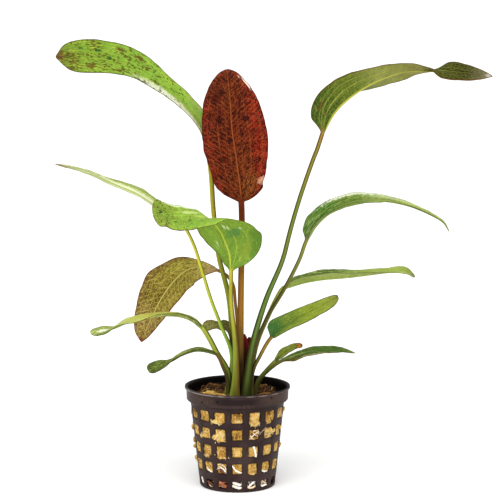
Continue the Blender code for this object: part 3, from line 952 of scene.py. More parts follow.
TALL_TWISTED = LeafShape(
    lean=0, stalk=(4.2, 2.1), neck=9, fineness=BIG, ripple=0.16, wave=17, bulge=0.07,
    route=((3.8, -5, 42.9), (5.5, -5, 58.5), (7.8, -6, 72.5), (14.1, -7, 94), (22.1, -8, 113.5),
        (25.8, -8, 128), (30.1, -8, 143), (36.7, -8, 162.5), (39.2, -8.7, 169), (41, -9.5, 175),
        (46.5, -12.5, 186), (55, -15.5, 194.5), (67, -20, 202), (79.5, -25, 206.5),
        (90.5, -30, 207), (104, -35, 206), (119, -40, 204.5)),
    blade=((0, 1, 1, -50, 45), (0.05, 7.8, 5, -48, 45), (0.12, 10.9, 8, -45, 45),
        (0.22, 11.3, 9.7, -45, 40), (0.3, 10.2, 10.3, -45, 30), (0.38, 8.7, 10.5, -45, 20),
        (0.46, 7.4, 9.2, -44, 11), (0.53, 6.5, 7.5, -42, 4), (0.62, 6.2, 5.8, -28, 4),
        (0.7, 5.8, 5.2, -8, 3), (0.735, 6.6, 6.2, 16, 5), (0.77, 7, 6.9, 33, 6),
        (0.86, 6, 5.7, 42, 6), (0.95, 3.2, 2.9, 44, 5), (1, 0.4, 0.4, 44, 5)))
MID_RIGHT = LeafShape(
    lean=0, stalk=(2.7, 1.9), neck=5, fineness=BIG, ripple=0.12, wave=13, bulge=0.07,
    route=((5.8, 1.8, 42.9), (8.9, 2, 67.5), (14.6, 3, 83), (23.7, 4, 98.5), (31, 5, 113),
        (33.7, 6.5, 120.5), (38.7, 8, 129), (46.5, 11, 135.5), (58.5, 14.5, 140),
        (73.5, 18.5, 140), (86.5, 21.5, 137), (97.5, 24, 132.1), (103.8, 26, 128),
        (106.7, 27, 123.4)),
    blade=((0, 0.95, 0.95, 30, 30), (0.04, 3.2, 3.8, 30, 33), (0.08, 6, 5.2, 30, 35),
        (0.12, 7.4, 6.2, 30, 34), (0.2, 8.6, 6.3, 30, 30), (0.3, 8.6, 5.9, 30, 25),
        (0.42, 6.6, 5, 30, 22), (0.5, 4.5, 4.1, 30, 20), (0.6, 1.9, 3, 30, 20),
        (0.75, 0.7, 1.6, 30, 20), (0.9, 1, 1.1, 30, 14), (1, 0.4, 0.4, 30, 10)))
LOW_RIGHT = LeafShape(
    lean=0, stalk=(2.6, 2.3), neck=4, fineness=BIG, ripple=0.1, wave=16, bulge=0.05,
    route=((4.8, 4.4, 42.9), (9.3, 5.5, 69), (15.5, 7, 84), (19.9, 8.5, 93), (22.8, 10.3, 97),
        (30.5, 13.8, 99.5), (41, 18.5, 100.8), (57, 24.5, 101.2), (75, 32, 102), (85, 36, 101.8),
        (90.6, 38, 99)),
    blade=((0, 0.95, 0.95, 10, 40), (0.05, 4.2, 2.9, 10, 40), (0.1, 5.2, 3.7, 10, 40),
        (0.2, 5.6, 4.1, 10, 40), (0.35, 6, 5.1, 8, 38), (0.6, 4.6, 4.5, 5, 20),
        (0.8, 5.6, 3.9, 12, 10), (0.9, 6.8, 4.1, 15, 10), (0.96, 6, 3.6, 15, 10),
        (1, 0.9, 0.9, 15, 10)))
OVAL_RIGHT = LeafShape(
    lean=0, stalk=(2.2, 1.8), neck=3, fineness=(28, 96, 26), ripple=0.08, wave=11, bulge=0.05,
    route=((6.8, -3.2, 42.9), (7.7, -2.9, 57.5), (11.2, -4.5, 65.5), (16.5, -7, 75),
        (23.5, -10.5, 81.5), (30.5, -14, 86.5), (40.5, -18, 92.5), (48.8, -22, 97.8)),
    blade=((0, 0.9, 0.9, 60, 20), (0.02, 1.5, 3.4, 60, 17), (0.05, 1.9, 4.9, 60, 15),
        (0.12, 2.5, 6.4, 60, 15), (0.3, 3.4, 5.3, 60, 15), (0.5, 4.3, 4.3, 60, 10),
        (0.75, 4, 3.3, 60, 8), (0.9, 3.4, 2.5, 60, 5), (0.97, 2.2, 1.7, 60, 5),
        (1, 0.9, 0.9, 60, 5)))
SHORT_RIGHT = LeafShape(
    lean=0, stalk=(2.3, 1.9), neck=3, fineness=SMALL, ripple=0.1, wave=8, bulge=0.05,
    route=((8.2, -0.6, 42.9), (9.8, -1.5, 51.6), (14.4, -3, 58.1), (18.7, -5.5, 63.2),
        (22.9, -8, 67.6), (27.6, -11, 71.1), (32, -13, 72.5)),
    blade=((0, 0.95, 0.95, 40, 30), (0.3, 2.7, 2.6, 40, 20), (0.65, 2.2, 2.2, 40, 10),
        (0.85, 1.4, 1.6, 55, 14), (0.95, 1.4, 1.5, 75, 30), (1, 0.8, 0.8, 80, 40)))
LOWEST_RIGHT = LeafShape(
    lean=0, stalk=(2.4, 1.9), neck=4, fineness=(24, 88, 24), ripple=0.1, wave=12, bulge=0.06,
    route=((8, 2, 42.9), (9, 1.5, 47.8), (12, 2.5, 53.5), (16, 3.5, 57.4), (20.5, 5, 60.5),
        (26, 8, 62.5), (33.5, 11.5, 64.3), (42.5, 16, 64.7), (52, 20.5, 63.7), (59.6, 24, 61.5)),
    blade=((0, 0.95, 0.95, 25, 10), (0.15, 4, 1.6, 30, 0), (0.3, 3.6, 2.4, 30, 0),
        (0.5, 3.5, 3.3, 26, 2), (0.7, 3.6, 3.2, 20, 6), (0.85, 2.3, 2.4, 20, 8),
        (1, 0.4, 0.4, 20, 10)))
FOLDED_FRONT = LeafShape(
    lean=250, stalk=(5.1, 2), neck=4, fineness=(40, 140, 34), ripple=0.25, wave=12, bulge=0.06,
    fray=0.2,
    route=((-1.5, -5.5, 42.9), (-0.7, -7, 59), (-1.1, -8, 74), (-3, -9, 94), (-3, -10, 108),
        (-3.5, -10.5, 116.5), (-5.5, -11.5, 123), (-8.5, -14, 130), (-12.5, -17.5, 134.5),
        (-19, -21, 136), (-27.5, -25, 136.2), (-32.5, -27.2, 137.3), (-36.5, -28.8, 138.8),
        (-40.1, -30.3, 139.6)),
    blade=((0, 1, 1, 0, 25), (0.07, 5.2, 8.6, 0, 22), (0.15, 7.9, 15.2, 0, 18),
        (0.23, 10.4, 18.2, 0, 12), (0.3, 12.4, 17.2, -1, 8), (0.36, 13.8, 16.5, -4, 5),
        (0.42, 14.3, 16.2, -8, 4), (0.547, 10.5, 12.6, -20, 4), (0.65, 8.2, 9.8, -29, 4),
        (0.735, 8.2, 8.8, -40, 4), (0.8, 8.7, 9.1, -48, 4), (0.86, 9.4, 10, -54, 4),
        (0.92, 9.4, 9.6, -57, 4), (0.965, 7.8, 7.8, -58, 4), (0.99, 4.9, 4.9, -58, 4),
        (1, 2.3, 2.3, -58, 4)))
LONG_LEFT = LeafShape(
    lean=180, stalk=(2.5, 1.6), neck=6, fineness=(24, 110, 34), ripple=0.12, wave=14, bulge=0.04,
    route=((-2.6, -0.8, 42.9), (-3.1, -1.4, 67), (-7.6, -4, 79.5), (-12.8, -5.5, 93.5),
        (-17, -6.5, 107.5), (-21.2, -7, 121), (-25.6, -6.5, 129.7), (-30.5, -6, 135.5),
        (-39, -4.5, 139.5), (-48.5, -2.5, 145.3), (-60, 1, 150), (-75, 6.5, 156), (-90, 12, 158.8)),
    blade=((0, 0.85, 0.85, -30, 30), (0.15, 2.8, 4.3, -30, 30), (0.3, 3.6, 6.2, -30, 30),
        (0.4, 3.9, 6.1, -30, 27), (0.48, 3.5, 5.4, -30, 24), (0.56, 2.6, 4.7, -30, 22),
        (0.66, 1.6, 4.2, -30, 20), (0.8, 1.1, 2.9, -30, 15), (0.92, 1, 1.5, -30, 10),
        (1, 0.4, 0.4, -30, 10)))
DROOPING_LEFT = LeafShape(
    lean=180, stalk=(2, 1.6), neck=5, fineness=(36, 130, 30), ripple=0.14, wave=11, bulge=0.055,
    route=((1, 5.4, 42.9), (0, 7, 79), (-1.1, 9, 90), (-2.2, 10.5, 98.8), (-5.2, 10.9, 103.2),
        (-9, 11, 105.5), (-17, 11, 107.5), (-25, 10.5, 106), (-31.5, 9, 100.5), (-37.5, 7, 92.5),
        (-42.5, 5, 83), (-47.7, 3.5, 71.1)),
    blade=((0, 0.8, 0.8, -40, 10), (0.15, 3.6, 7.1, -45, 5), (0.3, 9, 10.9, -50, 10),
        (0.4, 11.6, 10.6, -54, 11), (0.5, 13.2, 10, -60, 12), (0.6, 12, 8.8, -64, 11),
        (0.7, 10.5, 7.5, -66, 10), (0.87, 7.4, 4.2, -70, 8), (0.95, 4.6, 2.3, -70, 8),
        (1, 0.5, 0.5, -70, 8)))
SMALL_LEFT = LeafShape(
    lean=180, stalk=(1.8, 1.3), neck=2, fineness=SMALL, ripple=0.2, wave=7, bulge=0.05,
    route=((-4.4, 1.6, 42.9), (-3, 2.5, 69.5), (-4, 2.5, 75.5), (-6, 3.5, 79), (-9.5, 4, 79.5),
        (-13, 5, 79.5), (-17, 6, 80)),
    blade=((0, 0.65, 0.65, -40, 20), (0.15, 2.6, 3, -40, 15), (0.35, 3.2, 4, -40, 10),
        (0.52, 2.4, 2.8, -40, 5), (0.75, 2.8, 4.3, -40, 5), (0.92, 2.4, 3.4, -40, 5),
        (1, 0.6, 0.6, -40, 5)))
ARCHING_LEFT = LeafShape(
    lean=180, stalk=(2.9, 2.6), neck=4, fineness=(24, 110, 26), ripple=0.12, wave=12, bulge=0.05,
    route=((-5.4, -1.6, 42.9), (-4.4, -3.6, 56.5), (-10.1, -4.5, 67.2), (-14, -5, 74.8),
        (-17, -6.5, 80), (-20.5, -8.5, 84.1), (-27, -10.5, 87.2), (-35.5, -13, 88.1),
        (-44.5, -16, 87.2), (-54, -19.5, 85), (-60, -22, 82.7), (-70.5, -26, 81)),
    blade=((0, 1.25, 1.25, -5, 10), (0.1, 2.2, 3.6, 0, 8), (0.22, 2.9, 4.3, 3, 6),
        (0.37, 3.5, 4.2, 2, 5), (0.5, 3.5, 4.3, -6, 5), (0.62, 3.1, 4.7, -20, 5),
        (0.7, 2.7, 3.3, -18, 5), (0.78, 1.7, 1.6, -8, 5), (0.87, 2.3, 2.6, -40, 5),
        (0.95, 2, 2.9, -48, 5), (0.985, 1.3, 2.1, -50, 5), (1, 0.6, 1, -50, 5)))
LOWEST_LEFT = LeafShape(
    lean=180, stalk=(2.2, 1.7), neck=3, fineness=(22, 90, 24), ripple=0.12, wave=9, bulge=0.05,
    route=((-4.8, -4.2, 42.9), (-5, -6.2, 54.5), (-7.2, -7, 60.8), (-10, -8.5, 67),
        (-14.5, -10.5, 69.3), (-20.5, -13.5, 70.3), (-27.5, -16, 68.3), (-32, -19, 66),
        (-43, -24, 62)),
    blade=((0, 0.95, 0.95, 0, 20), (0.3, 2.9, 3.5, -4, 10), (0.55, 2.4, 2.9, -8, 5),
        (0.66, 1.4, 1.1, -20, 5), (0.8, 3, 2.3, -50, 5), (0.93, 3.2, 2.7, -55, 5),
        (0.98, 2.5, 2.1, -55, 5), (1, 1.2, 1.2, -55, 5)))
YOUNG_RED = LeafShape(
    lean=90, stalk=(2, 2), neck=1, fineness=(18, 40, 18), ripple=0.1, wave=6, bulge=0.06,
    route=((3.2, 0.9, 42.9), (3.4, 0.9, 57), (3.9, 0.9, 67.5), (3.3, 1, 75.6)),
    blade=((0, 1.4, 1.4, 20, 45), (0.3, 2.5, 2.5, 20, 45), (0.7, 2.3, 2.3, 20, 42),
        (0.92, 1.2, 1.2, 20, 35), (1, 0.4, 0.4, 20, 20)))
YOUNG_PURPLE = LeafShape(
    lean=90, stalk=(2, 2), neck=1, fineness=(18, 40, 18), ripple=0.1, wave=6, bulge=0.06,
    route=((1, 1.9, 42.9), (2.6, 3.2, 57), (4.6, 4, 65), (6, 4, 73.5)),
    blade=((0, 1.5, 1.5, 10, 40), (0.3, 2.8, 2.8, 10, 42), (0.7, 2.8, 2.8, 10, 42),
        (0.93, 1.5, 1.5, 10, 35), (1, 0.7, 0.7, 10, 30)))

ABOVE, BENEATH, BOTH = Face
# painted shade: the stalks' feet in the crown are near black, where the stalks shade each other
CROWN_SHADE = (0.02, 0.024, 0.006)
TIP_BROWN = (0.12, 0.045, 0.02)

SPOTTED = LeafFinish(
    above=((0, 0.33, 0.46, 0.115), (0.2, 0.34, 0.45, 0.13), (0.4, 0.19, 0.36, 0.036),
        (0.6, 0.165, 0.325, 0.034), (0.82, 0.145, 0.27, 0.024), (1, 0.1, 0.15, 0.016)),
    beneath=((0, 0.22, 0.33, 0.07), (0.6, 0.25, 0.37, 0.07), (1, 0.17, 0.23, 0.05)),
    stalk=((0, *CROWN_SHADE), (0.25, 0.13, 0.15, 0.02), (0.52, 0.2, 0.22, 0.022),
        (0.72, 0.38, 0.31, 0.03), (1, 0.42, 0.35, 0.035)), vein=(0.44, 0.52, 0.08),
    margin=(0.05, 0.025, 0.006), fleck=(0.075, 0.05, 0.008), side_share=0.3, cross_share=0,
    line_share=0.32, net_share=0.12, lines=6, rib_reach=0.3, cover_above=0.42, cover_beneath=0.2,
    fleck_length=3, fleck_scale=1.5, fleck_share=0.85, fleck_start=0.2,
    light=Flecks((0.4, 0.47, 0.05), 0.55, 0.36, 12, 2.2), left=(0.36, 0.42, 0.05, 0.4),
    right=(0.06, 0.06, 0.015, 0.8),
    # painted sheen: the whitish patch on the far half near the base
    tints=marks(ABOVE, (0.68, 0.68, 0.55, 0.8, 0.36, 0.5, 0.3, 0.85))
        + marks(BOTH, (0.5, 0.56, 0.12, 0.85, 0.1, 0.3, 0.14, 0.7),
        (0.06, 0.2, 0.02, 0.1, 0.1, 0.18, 0.16, 0.7),
        (0.17, 0.38, 0.035, -0.3, 0.2, 0.5, 0.3, 0.6)),
    patches=marks(BOTH, (0.02, 0.075, 0.014, -0.4, 0.8, 0.09, 0.02, 0.9),
        (0.02, 0.075, 0.014, -0.1, 0.74, 0.08, 0.018, 0.9),
        (0.03, 0.1, 0.018, -0.5, 0.88, 0.07, 0.015, 0.8),
        (0.09, 0.035, 0.008, -0.66, 0.69, 0.12, 0.03, 0.85),
        (0.09, 0.035, 0.008, -0.6, 0.6, 0.14, 0.03, 0.8),
        (0.09, 0.035, 0.008, 0.6, 0.85, 0.16, 0.03, 0.8),
        (0.09, 0.035, 0.008, 0.7, 0.72, 0.1, 0.03, 0.7),
        (0.1, 0.05, 0.01, 0.35, 0.93, 0.12, 0.025, 0.7), (*TIP_BROWN, 0, 1, 0.9, 0.045, 0.85)))
RED = LeafFinish(
    above=((0, 0.13, 0.018, 0.005), (0.08, 0.1, 0.011, 0.003), (0.4, 0.11, 0.01, 0.003),
        (0.75, 0.1, 0.01, 0.003), (0.93, 0.12, 0.016, 0.005), (1, 0.16, 0.02, 0.01)),
    beneath=((0, 0.16, 0.04, 0.02), (0.5, 0.16, 0.035, 0.02), (1, 0.16, 0.04, 0.02)),
    # the red stalk's foot is painted dark too, as shade in the crown
    stalk=((0, 0.012, 0.007, 0.003), (0.17, 0.03, 0.019, 0.006), (0.3, 0.14, 0.085, 0.016),
        (0.45, 0.29, 0.13, 0.018), (0.72, 0.26, 0.12, 0.015), (0.85, 0.12, 0.022, 0.005),
        (1, 0.1, 0.014, 0.003)), vein=(0.27, 0.07, 0.018), margin=(0.04, 0.005, 0.003),
    fleck=(0.02, 0.003, 0.002), midrib_share=0.85, side_share=0.75, cross_share=0.5,
    line_share=0.1, net_share=0.45, vein_width=0.36, cross_spacing=2.4,
    side_places=(0.47, 0.82, 0.2), cover_above=0.56, cover_beneath=0.35, fleck_length=1.5,
    fleck_scale=2.1, fleck_share=0.85, spot_cover=0.2, spot_scale=0.7, mottle=0.5,
    streak=(0.1, 0.03, 0.01, 0.35), light=Flecks((0.24, 0.03, 0.008), 0.4, 0.34, 2),
    left=(0.09, 0.03, 0.008, 0.6), right=(0.12, 0.05, 0.01, 0.4),
    tints=marks(ABOVE, (0.28, 0.014, 0.007, -0.86, 0.5, 0.42, 0.6, 0.85),
        (0.2, 0.01, 0.006, 0.9, 0.42, 0.26, 0.5, 0.85),
        (0.17, 0.035, 0.008, -0.1, 0.24, 0.5, 0.26, 0.6),
        (0.26, 0.08, 0.014, -0.45, 0.12, 0.4, 0.12, 0.75),
        (0.16, 0.035, 0.008, 0.1, 0.8, 0.35, 0.2, 0.5)),
    # painted highlights: the first three pale patches are glints on the glossy blade
    patches=marks(ABOVE, (0.85, 0.68, 0.58, -0.93, 0.885, 0.08, 0.06, 0.9),
        (0.7, 0.5, 0.42, -0.78, 0.935, 0.06, 0.02, 0.6),
        (0.6, 0.28, 0.16, -0.9, 0.15, 0.22, 0.035, 0.8),
        (0.022, 0.003, 0.003, 0.42, 0.62, 0.14, 0.03, 0.85),
        (0.022, 0.003, 0.003, -0.42, 0.63, 0.16, 0.03, 0.85),
        (0.022, 0.003, 0.003, 0.1, 0.47, 0.12, 0.018, 0.85),
        (0.03, 0.004, 0.003, 0.5, 0.8, 0.25, 0.07, 0.5),
        (0.022, 0.004, 0.002, 0.3, 0.83, 0.2, 0.03, 0.8),
        (0.022, 0.004, 0.002, 0.45, 0.34, 0.2, 0.03, 0.7)), roughness=0.36)
TWISTED = LeafFinish(
    above=((0, 0.05, 0.085, 0.012), (0.6, 0.035, 0.045, 0.006), (0.85, 0.016, 0.02, 0.003),
        (1, 0.12, 0.1, 0.06)),
    beneath=((0, 0.022, 0.055, 0.008), (0.12, 0.028, 0.065, 0.008), (0.28, 0.08, 0.12, 0.014),
        (0.45, 0.22, 0.245, 0.06), (0.62, 0.22, 0.21, 0.06), (0.72, 0.045, 0.05, 0.009),
        (0.88, 0.018, 0.022, 0.004), (1, 0.1, 0.085, 0.03)),
    stalk=((0, *CROWN_SHADE), (0.1, 0.07, 0.1, 0.018), (0.35, 0.1, 0.17, 0.03), (0.7, 0.15, 0.18, 0.028),
        (0.93, 0.22, 0.17, 0.025), (1, 0.3, 0.17, 0.03)), vein=(0.42, 0.4, 0.06),
    margin=(0.11, 0.042, 0.008), margin_width=0.8, fleck=(0.03, 0.035, 0.005), midrib_share=0.9,
    side_share=0.6, cross_share=0.22, line_share=0.18, net_share=0.15, lines=4, rib_reach=0.74,
    side_places=(0.34, 0.62, 0.84), cover_above=0.4, cover_beneath=0.3, fleck_length=3,
    fleck_scale=2.8, fleck_share=0.5, light=Flecks((0.26, 0.3, 0.05), 0.2, 0.3, 9), mottle=0.5,
    left=(0.02, 0.03, 0.006, 0.85), right=(0.03, 0.04, 0.009, 0.8),
    patches=marks(BENEATH, (0.085, 0.05, 0.012, -0.62, 0.12, 0.13, 0.03, 0.65),
        (0.085, 0.06, 0.014, -0.25, 0.1, 0.1, 0.02, 0.5))
        + marks(BOTH, (0.5, 0.46, 0.4, 0, 1, 1.2, 0.045, 0.75)))
MID = LeafFinish(
    above=((0, 0.025, 0.07, 0.01), (0.06, 0.02, 0.09, 0.01), (0.2, 0.024, 0.115, 0.01),
        (0.36, 0.07, 0.14, 0.012), (0.55, 0.24, 0.31, 0.075), (0.75, 0.34, 0.42, 0.11),
        (1, 0.38, 0.46, 0.12)),
    beneath=((0, 0.2, 0.3, 0.07), (0.5, 0.33, 0.39, 0.14), (1, 0.36, 0.43, 0.13)),
    stalk=((0, *CROWN_SHADE), (0.2, 0.1, 0.09, 0.02), (0.6, 0.08, 0.08, 0.016), (1, 0.19, 0.2, 0.04)),
    vein=(0.36, 0.42, 0.11), margin=(0.07, 0.1, 0.018), fleck=(0.04, 0.09, 0.012),
    midrib_share=0.7, line_share=0.35, cover_above=0.35, fleck_length=5, fleck_share=0.6,
    light=Flecks((0.4, 0.48, 0.15), 0.4, 0.32, 9), mottle=0.4, left=(0.018, 0.014, 0.005, 0.9),
    right=(0.2, 0.18, 0.04, 0.6),
    # painted highlights: the first three pale patches
    patches=marks(BOTH, (0.66, 0.7, 0.5, 0.85, 0.42, 0.3, 0.26, 0.85),
        (0.5, 0.56, 0.3, 0.5, 0.6, 0.3, 0.2, 0.5), (0.6, 0.62, 0.34, -0.6, 0.1, 0.12, 0.08, 0.85),
        (0.3, 0.28, 0.06, -0.92, 0.25, 0.1, 0.2, 0.7),
        (0.45, 0.35, 0.12, 0.2, 0.015, 0.9, 0.015, 0.5)))
LOW = LeafFinish(
    above=((0, 0.05, 0.1, 0.015), (0.1, 0.05, 0.12, 0.016), (0.4, 0.1, 0.17, 0.028),
        (0.62, 0.22, 0.29, 0.055), (0.85, 0.26, 0.34, 0.055), (1, 0.12, 0.16, 0.02)),
    beneath=((0, 0.22, 0.29, 0.05), (0.5, 0.27, 0.34, 0.07), (1, 0.2, 0.25, 0.04)),
    stalk=((0, *CROWN_SHADE), (0.3, 0.14, 0.17, 0.025), (0.6, 0.3, 0.34, 0.04), (1, 0.26, 0.3, 0.04)),
    vein=(0.4, 0.48, 0.1), margin=(0.05, 0.05, 0.01), midrib_share=0, cross_share=0.1,
    line_share=0.5, lines=5, light=Flecks((0.46, 0.52, 0.17), 0.6, 0.36, 8), mottle=0.4,
    left=(0.1, 0.12, 0.022, 0.5), right=(0.42, 0.46, 0.08, 0.5),
    tints=marks(ABOVE, (0.12, 0.23, 0.03, -0.6, 0.25, 0.36, 0.34, 0.85),
        (0.42, 0.5, 0.16, -0.12, 0.4, 0.16, 0.4, 0.8),
        (0.025, 0.075, 0.012, 0.7, 0.3, 0.5, 0.24, 0.9)),
    patches=marks(ABOVE, (0.42, 0.55, 0.06, -0.9, 0.35, 0.16, 0.34, 0.8),
        (0.045, 0.05, 0.012, 0.9, 0.5, 0.12, 0.12, 0.8))
        + marks(BOTH, (0.11, 0.13, 0.02, 0, 1, 1.1, 0.04, 0.8)))
OVAL = LeafFinish(
    above=((0, 0.035, 0.1, 0.022), (0.14, 0.05, 0.135, 0.024), (0.35, 0.12, 0.19, 0.024),
        (0.6, 0.2, 0.26, 0.024), (0.85, 0.23, 0.275, 0.034), (1, 0.2, 0.21, 0.04)),
    beneath=((0, 0.2, 0.27, 0.06), (0.5, 0.32, 0.38, 0.07), (1, 0.34, 0.38, 0.08)),
    stalk=((0, *CROWN_SHADE), (0.35, 0.03, 0.03, 0.008), (0.6, 0.12, 0.11, 0.02),
        (0.85, 0.32, 0.2, 0.03), (1, 0.26, 0.13, 0.02)), vein=(0.05, 0.09, 0.014),
    margin=(0.05, 0.055, 0.01), midrib_share=0.5, side_share=0.3, cross_share=0.2, line_share=0.3,
    net_share=0.25, lines=8, vein_width=0.26, cover_above=0.36, fleck_share=0.4,
    fleck=(0.12, 0.13, 0.015), fleck_length=2.5,
    light=Flecks((0.4, 0.44, 0.07), 0.4, 0.38, 2.5, 3.4), left=(0.02, 0.016, 0.006, 0.95),
    right=(0.17, 0.13, 0.024, 0.4),
    patches=marks(ABOVE, (0.03, 0.11, 0.028, 0.4, 0.08, 0.8, 0.14, 0.7),
        (0.2, 0.25, 0.035, -0.8, 0.3, 0.35, 0.3, 0.6),
        (0.03, 0.06, 0.012, -0.45, 0.04, 0.35, 0.04, 0.7))
        + marks(BOTH, (0.12, 0.09, 0.03, 0.6, 0.99, 0.5, 0.03, 0.8)))
SHORT = LeafFinish(
    above=((0, 0.08, 0.105, 0.016), (0.3, 0.145, 0.18, 0.02), (0.74, 0.16, 0.2, 0.024),
        (0.82, 0.14, 0.06, 0.012), (0.9, 0.55, 0.13, 0.02), (0.95, 0.4, 0.08, 0.015),
        (1, 0.02, 0.008, 0.004)),
    beneath=((0, 0.16, 0.2, 0.035), (0.75, 0.22, 0.24, 0.04), (0.88, 0.25, 0.08, 0.02),
        (1, 0.03, 0.01, 0.005)),
    stalk=((0, *CROWN_SHADE), (0.4, 0.05, 0.06, 0.012), (0.7, 0.09, 0.11, 0.018), (1, 0.16, 0.18, 0.025)),
    vein=(0.1, 0.12, 0.018), margin=(0.05, 0.06, 0.01), side_share=0.3, line_share=0.3,
    net_share=0.3, vein_width=0.35, cover_above=0.35, fleck=(0.08, 0.1, 0.015), fleck_share=0.5,
    light=Flecks((0.34, 0.38, 0.07), 0.6, 0.34, 3))
LOWEST = LeafFinish(
    above=((0, 0.07, 0.1, 0.016), (0.3, 0.035, 0.08, 0.01), (0.8, 0.04, 0.1, 0.012),
        (0.93, 0.1, 0.15, 0.03), (1, 0.4, 0.4, 0.34)),
    beneath=((0, 0.35, 0.27, 0.1), (0.3, 0.46, 0.42, 0.26), (1, 0.46, 0.44, 0.28)),
    stalk=((0, *CROWN_SHADE), (0.4, 0.05, 0.06, 0.012), (1, 0.12, 0.12, 0.022)), vein=(0.16, 0.22, 0.05),
    margin=(0.09, 0.07, 0.015), line_share=0.25, cover_above=0.3, fleck=(0.025, 0.05, 0.008),
    fleck_length=4, fleck_share=0.6, light=Flecks((0.2, 0.26, 0.06), 0.6, 0.3, 6),
    tints=marks(ABOVE, (0.3, 0.34, 0.1, -0.1, 0.2, 0.3, 0.2, 0.7),
        (0.09, 0.05, 0.012, -0.8, 0.12, 0.4, 0.2, 0.8)),
    patches=marks(ABOVE, (0.42, 0.33, 0.17, -0.95, 0.42, 0.24, 0.26, 0.75)))
FOLDED = LeafFinish(
    above=((0, 0.16, 0.31, 0.035), (0.3, 0.15, 0.3, 0.032), (0.6, 0.21, 0.36, 0.045),
        (0.85, 0.22, 0.365, 0.045), (1, 0.17, 0.27, 0.035)),
    beneath=((0, 0.11, 0.21, 0.028), (0.12, 0.14, 0.26, 0.034), (0.4, 0.18, 0.32, 0.036),
        (0.7, 0.22, 0.38, 0.05), (1, 0.2, 0.32, 0.05)),
    stalk=((0, 0.08, 0.07, 0.014), (0.2, 0.17, 0.17, 0.024), (0.42, 0.22, 0.23, 0.03),
        (0.8, 0.42, 0.38, 0.036), (1, 0.5, 0.46, 0.035)), vein=(0.47, 0.55, 0.06),
    margin=(0.075, 0.035, 0.008), fleck=(0.08, 0.04, 0.007), midrib_share=0.95, side_share=0.55,
    cross_share=0.22, rib_reach=0.56, line_share=0.06, net_share=0.14, vein_width=0.5,
    cross_spacing=5.5, side_places=(0.26, 0.6, 0.86), cover_above=0.4, cover_beneath=0.08,
    fleck_length=1.5, fleck_scale=1.9, fleck_share=0.8, spot_cover=0.06, spot_scale=1.1,
    fleck_start=0.5, light=Flecks((0.42, 0.54, 0.09), 0.6, 0.26, 6),
    streak=(0.15, 0.05, 0.014, 0.5), left=(0.24, 0.36, 0.035, 0.6),
    right=(0.11, 0.065, 0.012, 0.88),
    tints=marks(ABOVE, (0.11, 0.22, 0.03, 0.1, 0.9, 0.8, 0.1, 0.5),
        (0.13, 0.28, 0.03, 0.5, 0.7, 0.4, 0.2, 0.6)),
    # painted glints: the first two pale patches above
    patches=marks(ABOVE, (0.6, 0.68, 0.36, -0.92, 0.72, 0.18, 0.24, 0.9),
        (0.5, 0.6, 0.2, -0.4, 0.66, 0.16, 0.12, 0.75),
        (0.4, 0.55, 0.1, -0.1, 0.58, 0.12, 0.08, 0.6),
        (0.02, 0.07, 0.014, -0.1, 0.93, 0.1, 0.014, 0.9),
        (0.02, 0.07, 0.014, 0.42, 0.82, 0.09, 0.014, 0.9),
        (0.02, 0.08, 0.016, 0.25, 0.7, 0.09, 0.014, 0.9),
        (0.02, 0.08, 0.016, 0, 0.52, 0.1, 0.014, 0.9))
        # painted glints: the five small pale patches beneath
        + marks(BENEATH, (0.24, 0.42, 0.05, -0.55, 0.25, 0.4, 0.2, 0.5),
        (0.55, 0.68, 0.34, 0.15, 0.385, 0.045, 0.035, 0.85),
        (0.55, 0.68, 0.34, 0.24, 0.36, 0.045, 0.03, 0.85),
        (0.48, 0.62, 0.3, 0.56, 0.335, 0.06, 0.014, 0.8),
        (0.55, 0.68, 0.34, -0.5, 0.24, 0.05, 0.04, 0.8),
        (0.48, 0.62, 0.3, -0.68, 0.21, 0.04, 0.03, 0.7),
        (0.07, 0.2, 0.05, 0.3, 0.31, 0.3, 0.05, 0.7),
        (0.2, 0.27, 0.03, 0.55, 0.15, 0.3, 0.08, 0.6),
        (0.07, 0.17, 0.02, 0.9, 0.2, 0.3, 0.16, 0.6)))
LONG = LeafFinish(
    above=((0, 0.3, 0.37, 0.07), (0.25, 0.33, 0.39, 0.1), (0.5, 0.35, 0.4, 0.13),
        (0.8, 0.38, 0.42, 0.16), (1, 0.26, 0.15, 0.1)),
    beneath=((0, 0.45, 0.5, 0.15), (0.6, 0.5, 0.55, 0.2), (1, 0.35, 0.25, 0.15)),
    stalk=((0, *CROWN_SHADE), (0.12, 0.1, 0.18, 0.035), (0.3, 0.18, 0.33, 0.042),
        (0.6, 0.4, 0.45, 0.045), (0.85, 0.64, 0.56, 0.05), (1, 0.55, 0.5, 0.07)),
    vein=(0.2, 0.26, 0.04), margin=(0.12, 0.12, 0.04), margin_share=0.75, margin_width=0.45,
    midrib_share=0.4, side_share=0.5, cross_share=0.06, line_share=0.65, net_share=0, lines=4,
    light=Flecks((0.74, 0.77, 0.45), 0.6, 0.46, 26), mottle=0.2, left=(0.66, 0.7, 0.09, 0.5),
    right=(0.06, 0.12, 0.02, 0.85),
    tints=marks(BOTH, (0.22, 0.29, 0.08, -0.8, 0.4, 0.3, 0.5, 0.85),
        (0.72, 0.76, 0.52, -0.15, 0.45, 0.3, 0.5, 0.85),
        (0.24, 0.34, 0.06, 0.4, 0.3, 0.22, 0.4, 0.8), (0.6, 0.66, 0.3, 0.85, 0.4, 0.2, 0.4, 0.5)),
    patches=marks(BOTH, (0.2, 0.15, 0.08, -0.9, 0.56, 0.3, 0.03, 0.8),
        (0.13, 0.1, 0.05, -0.9, 0.76, 0.4, 0.02, 0.8), (0.24, 0.12, 0.08, 0, 1, 1.2, 0.06, 0.7)))
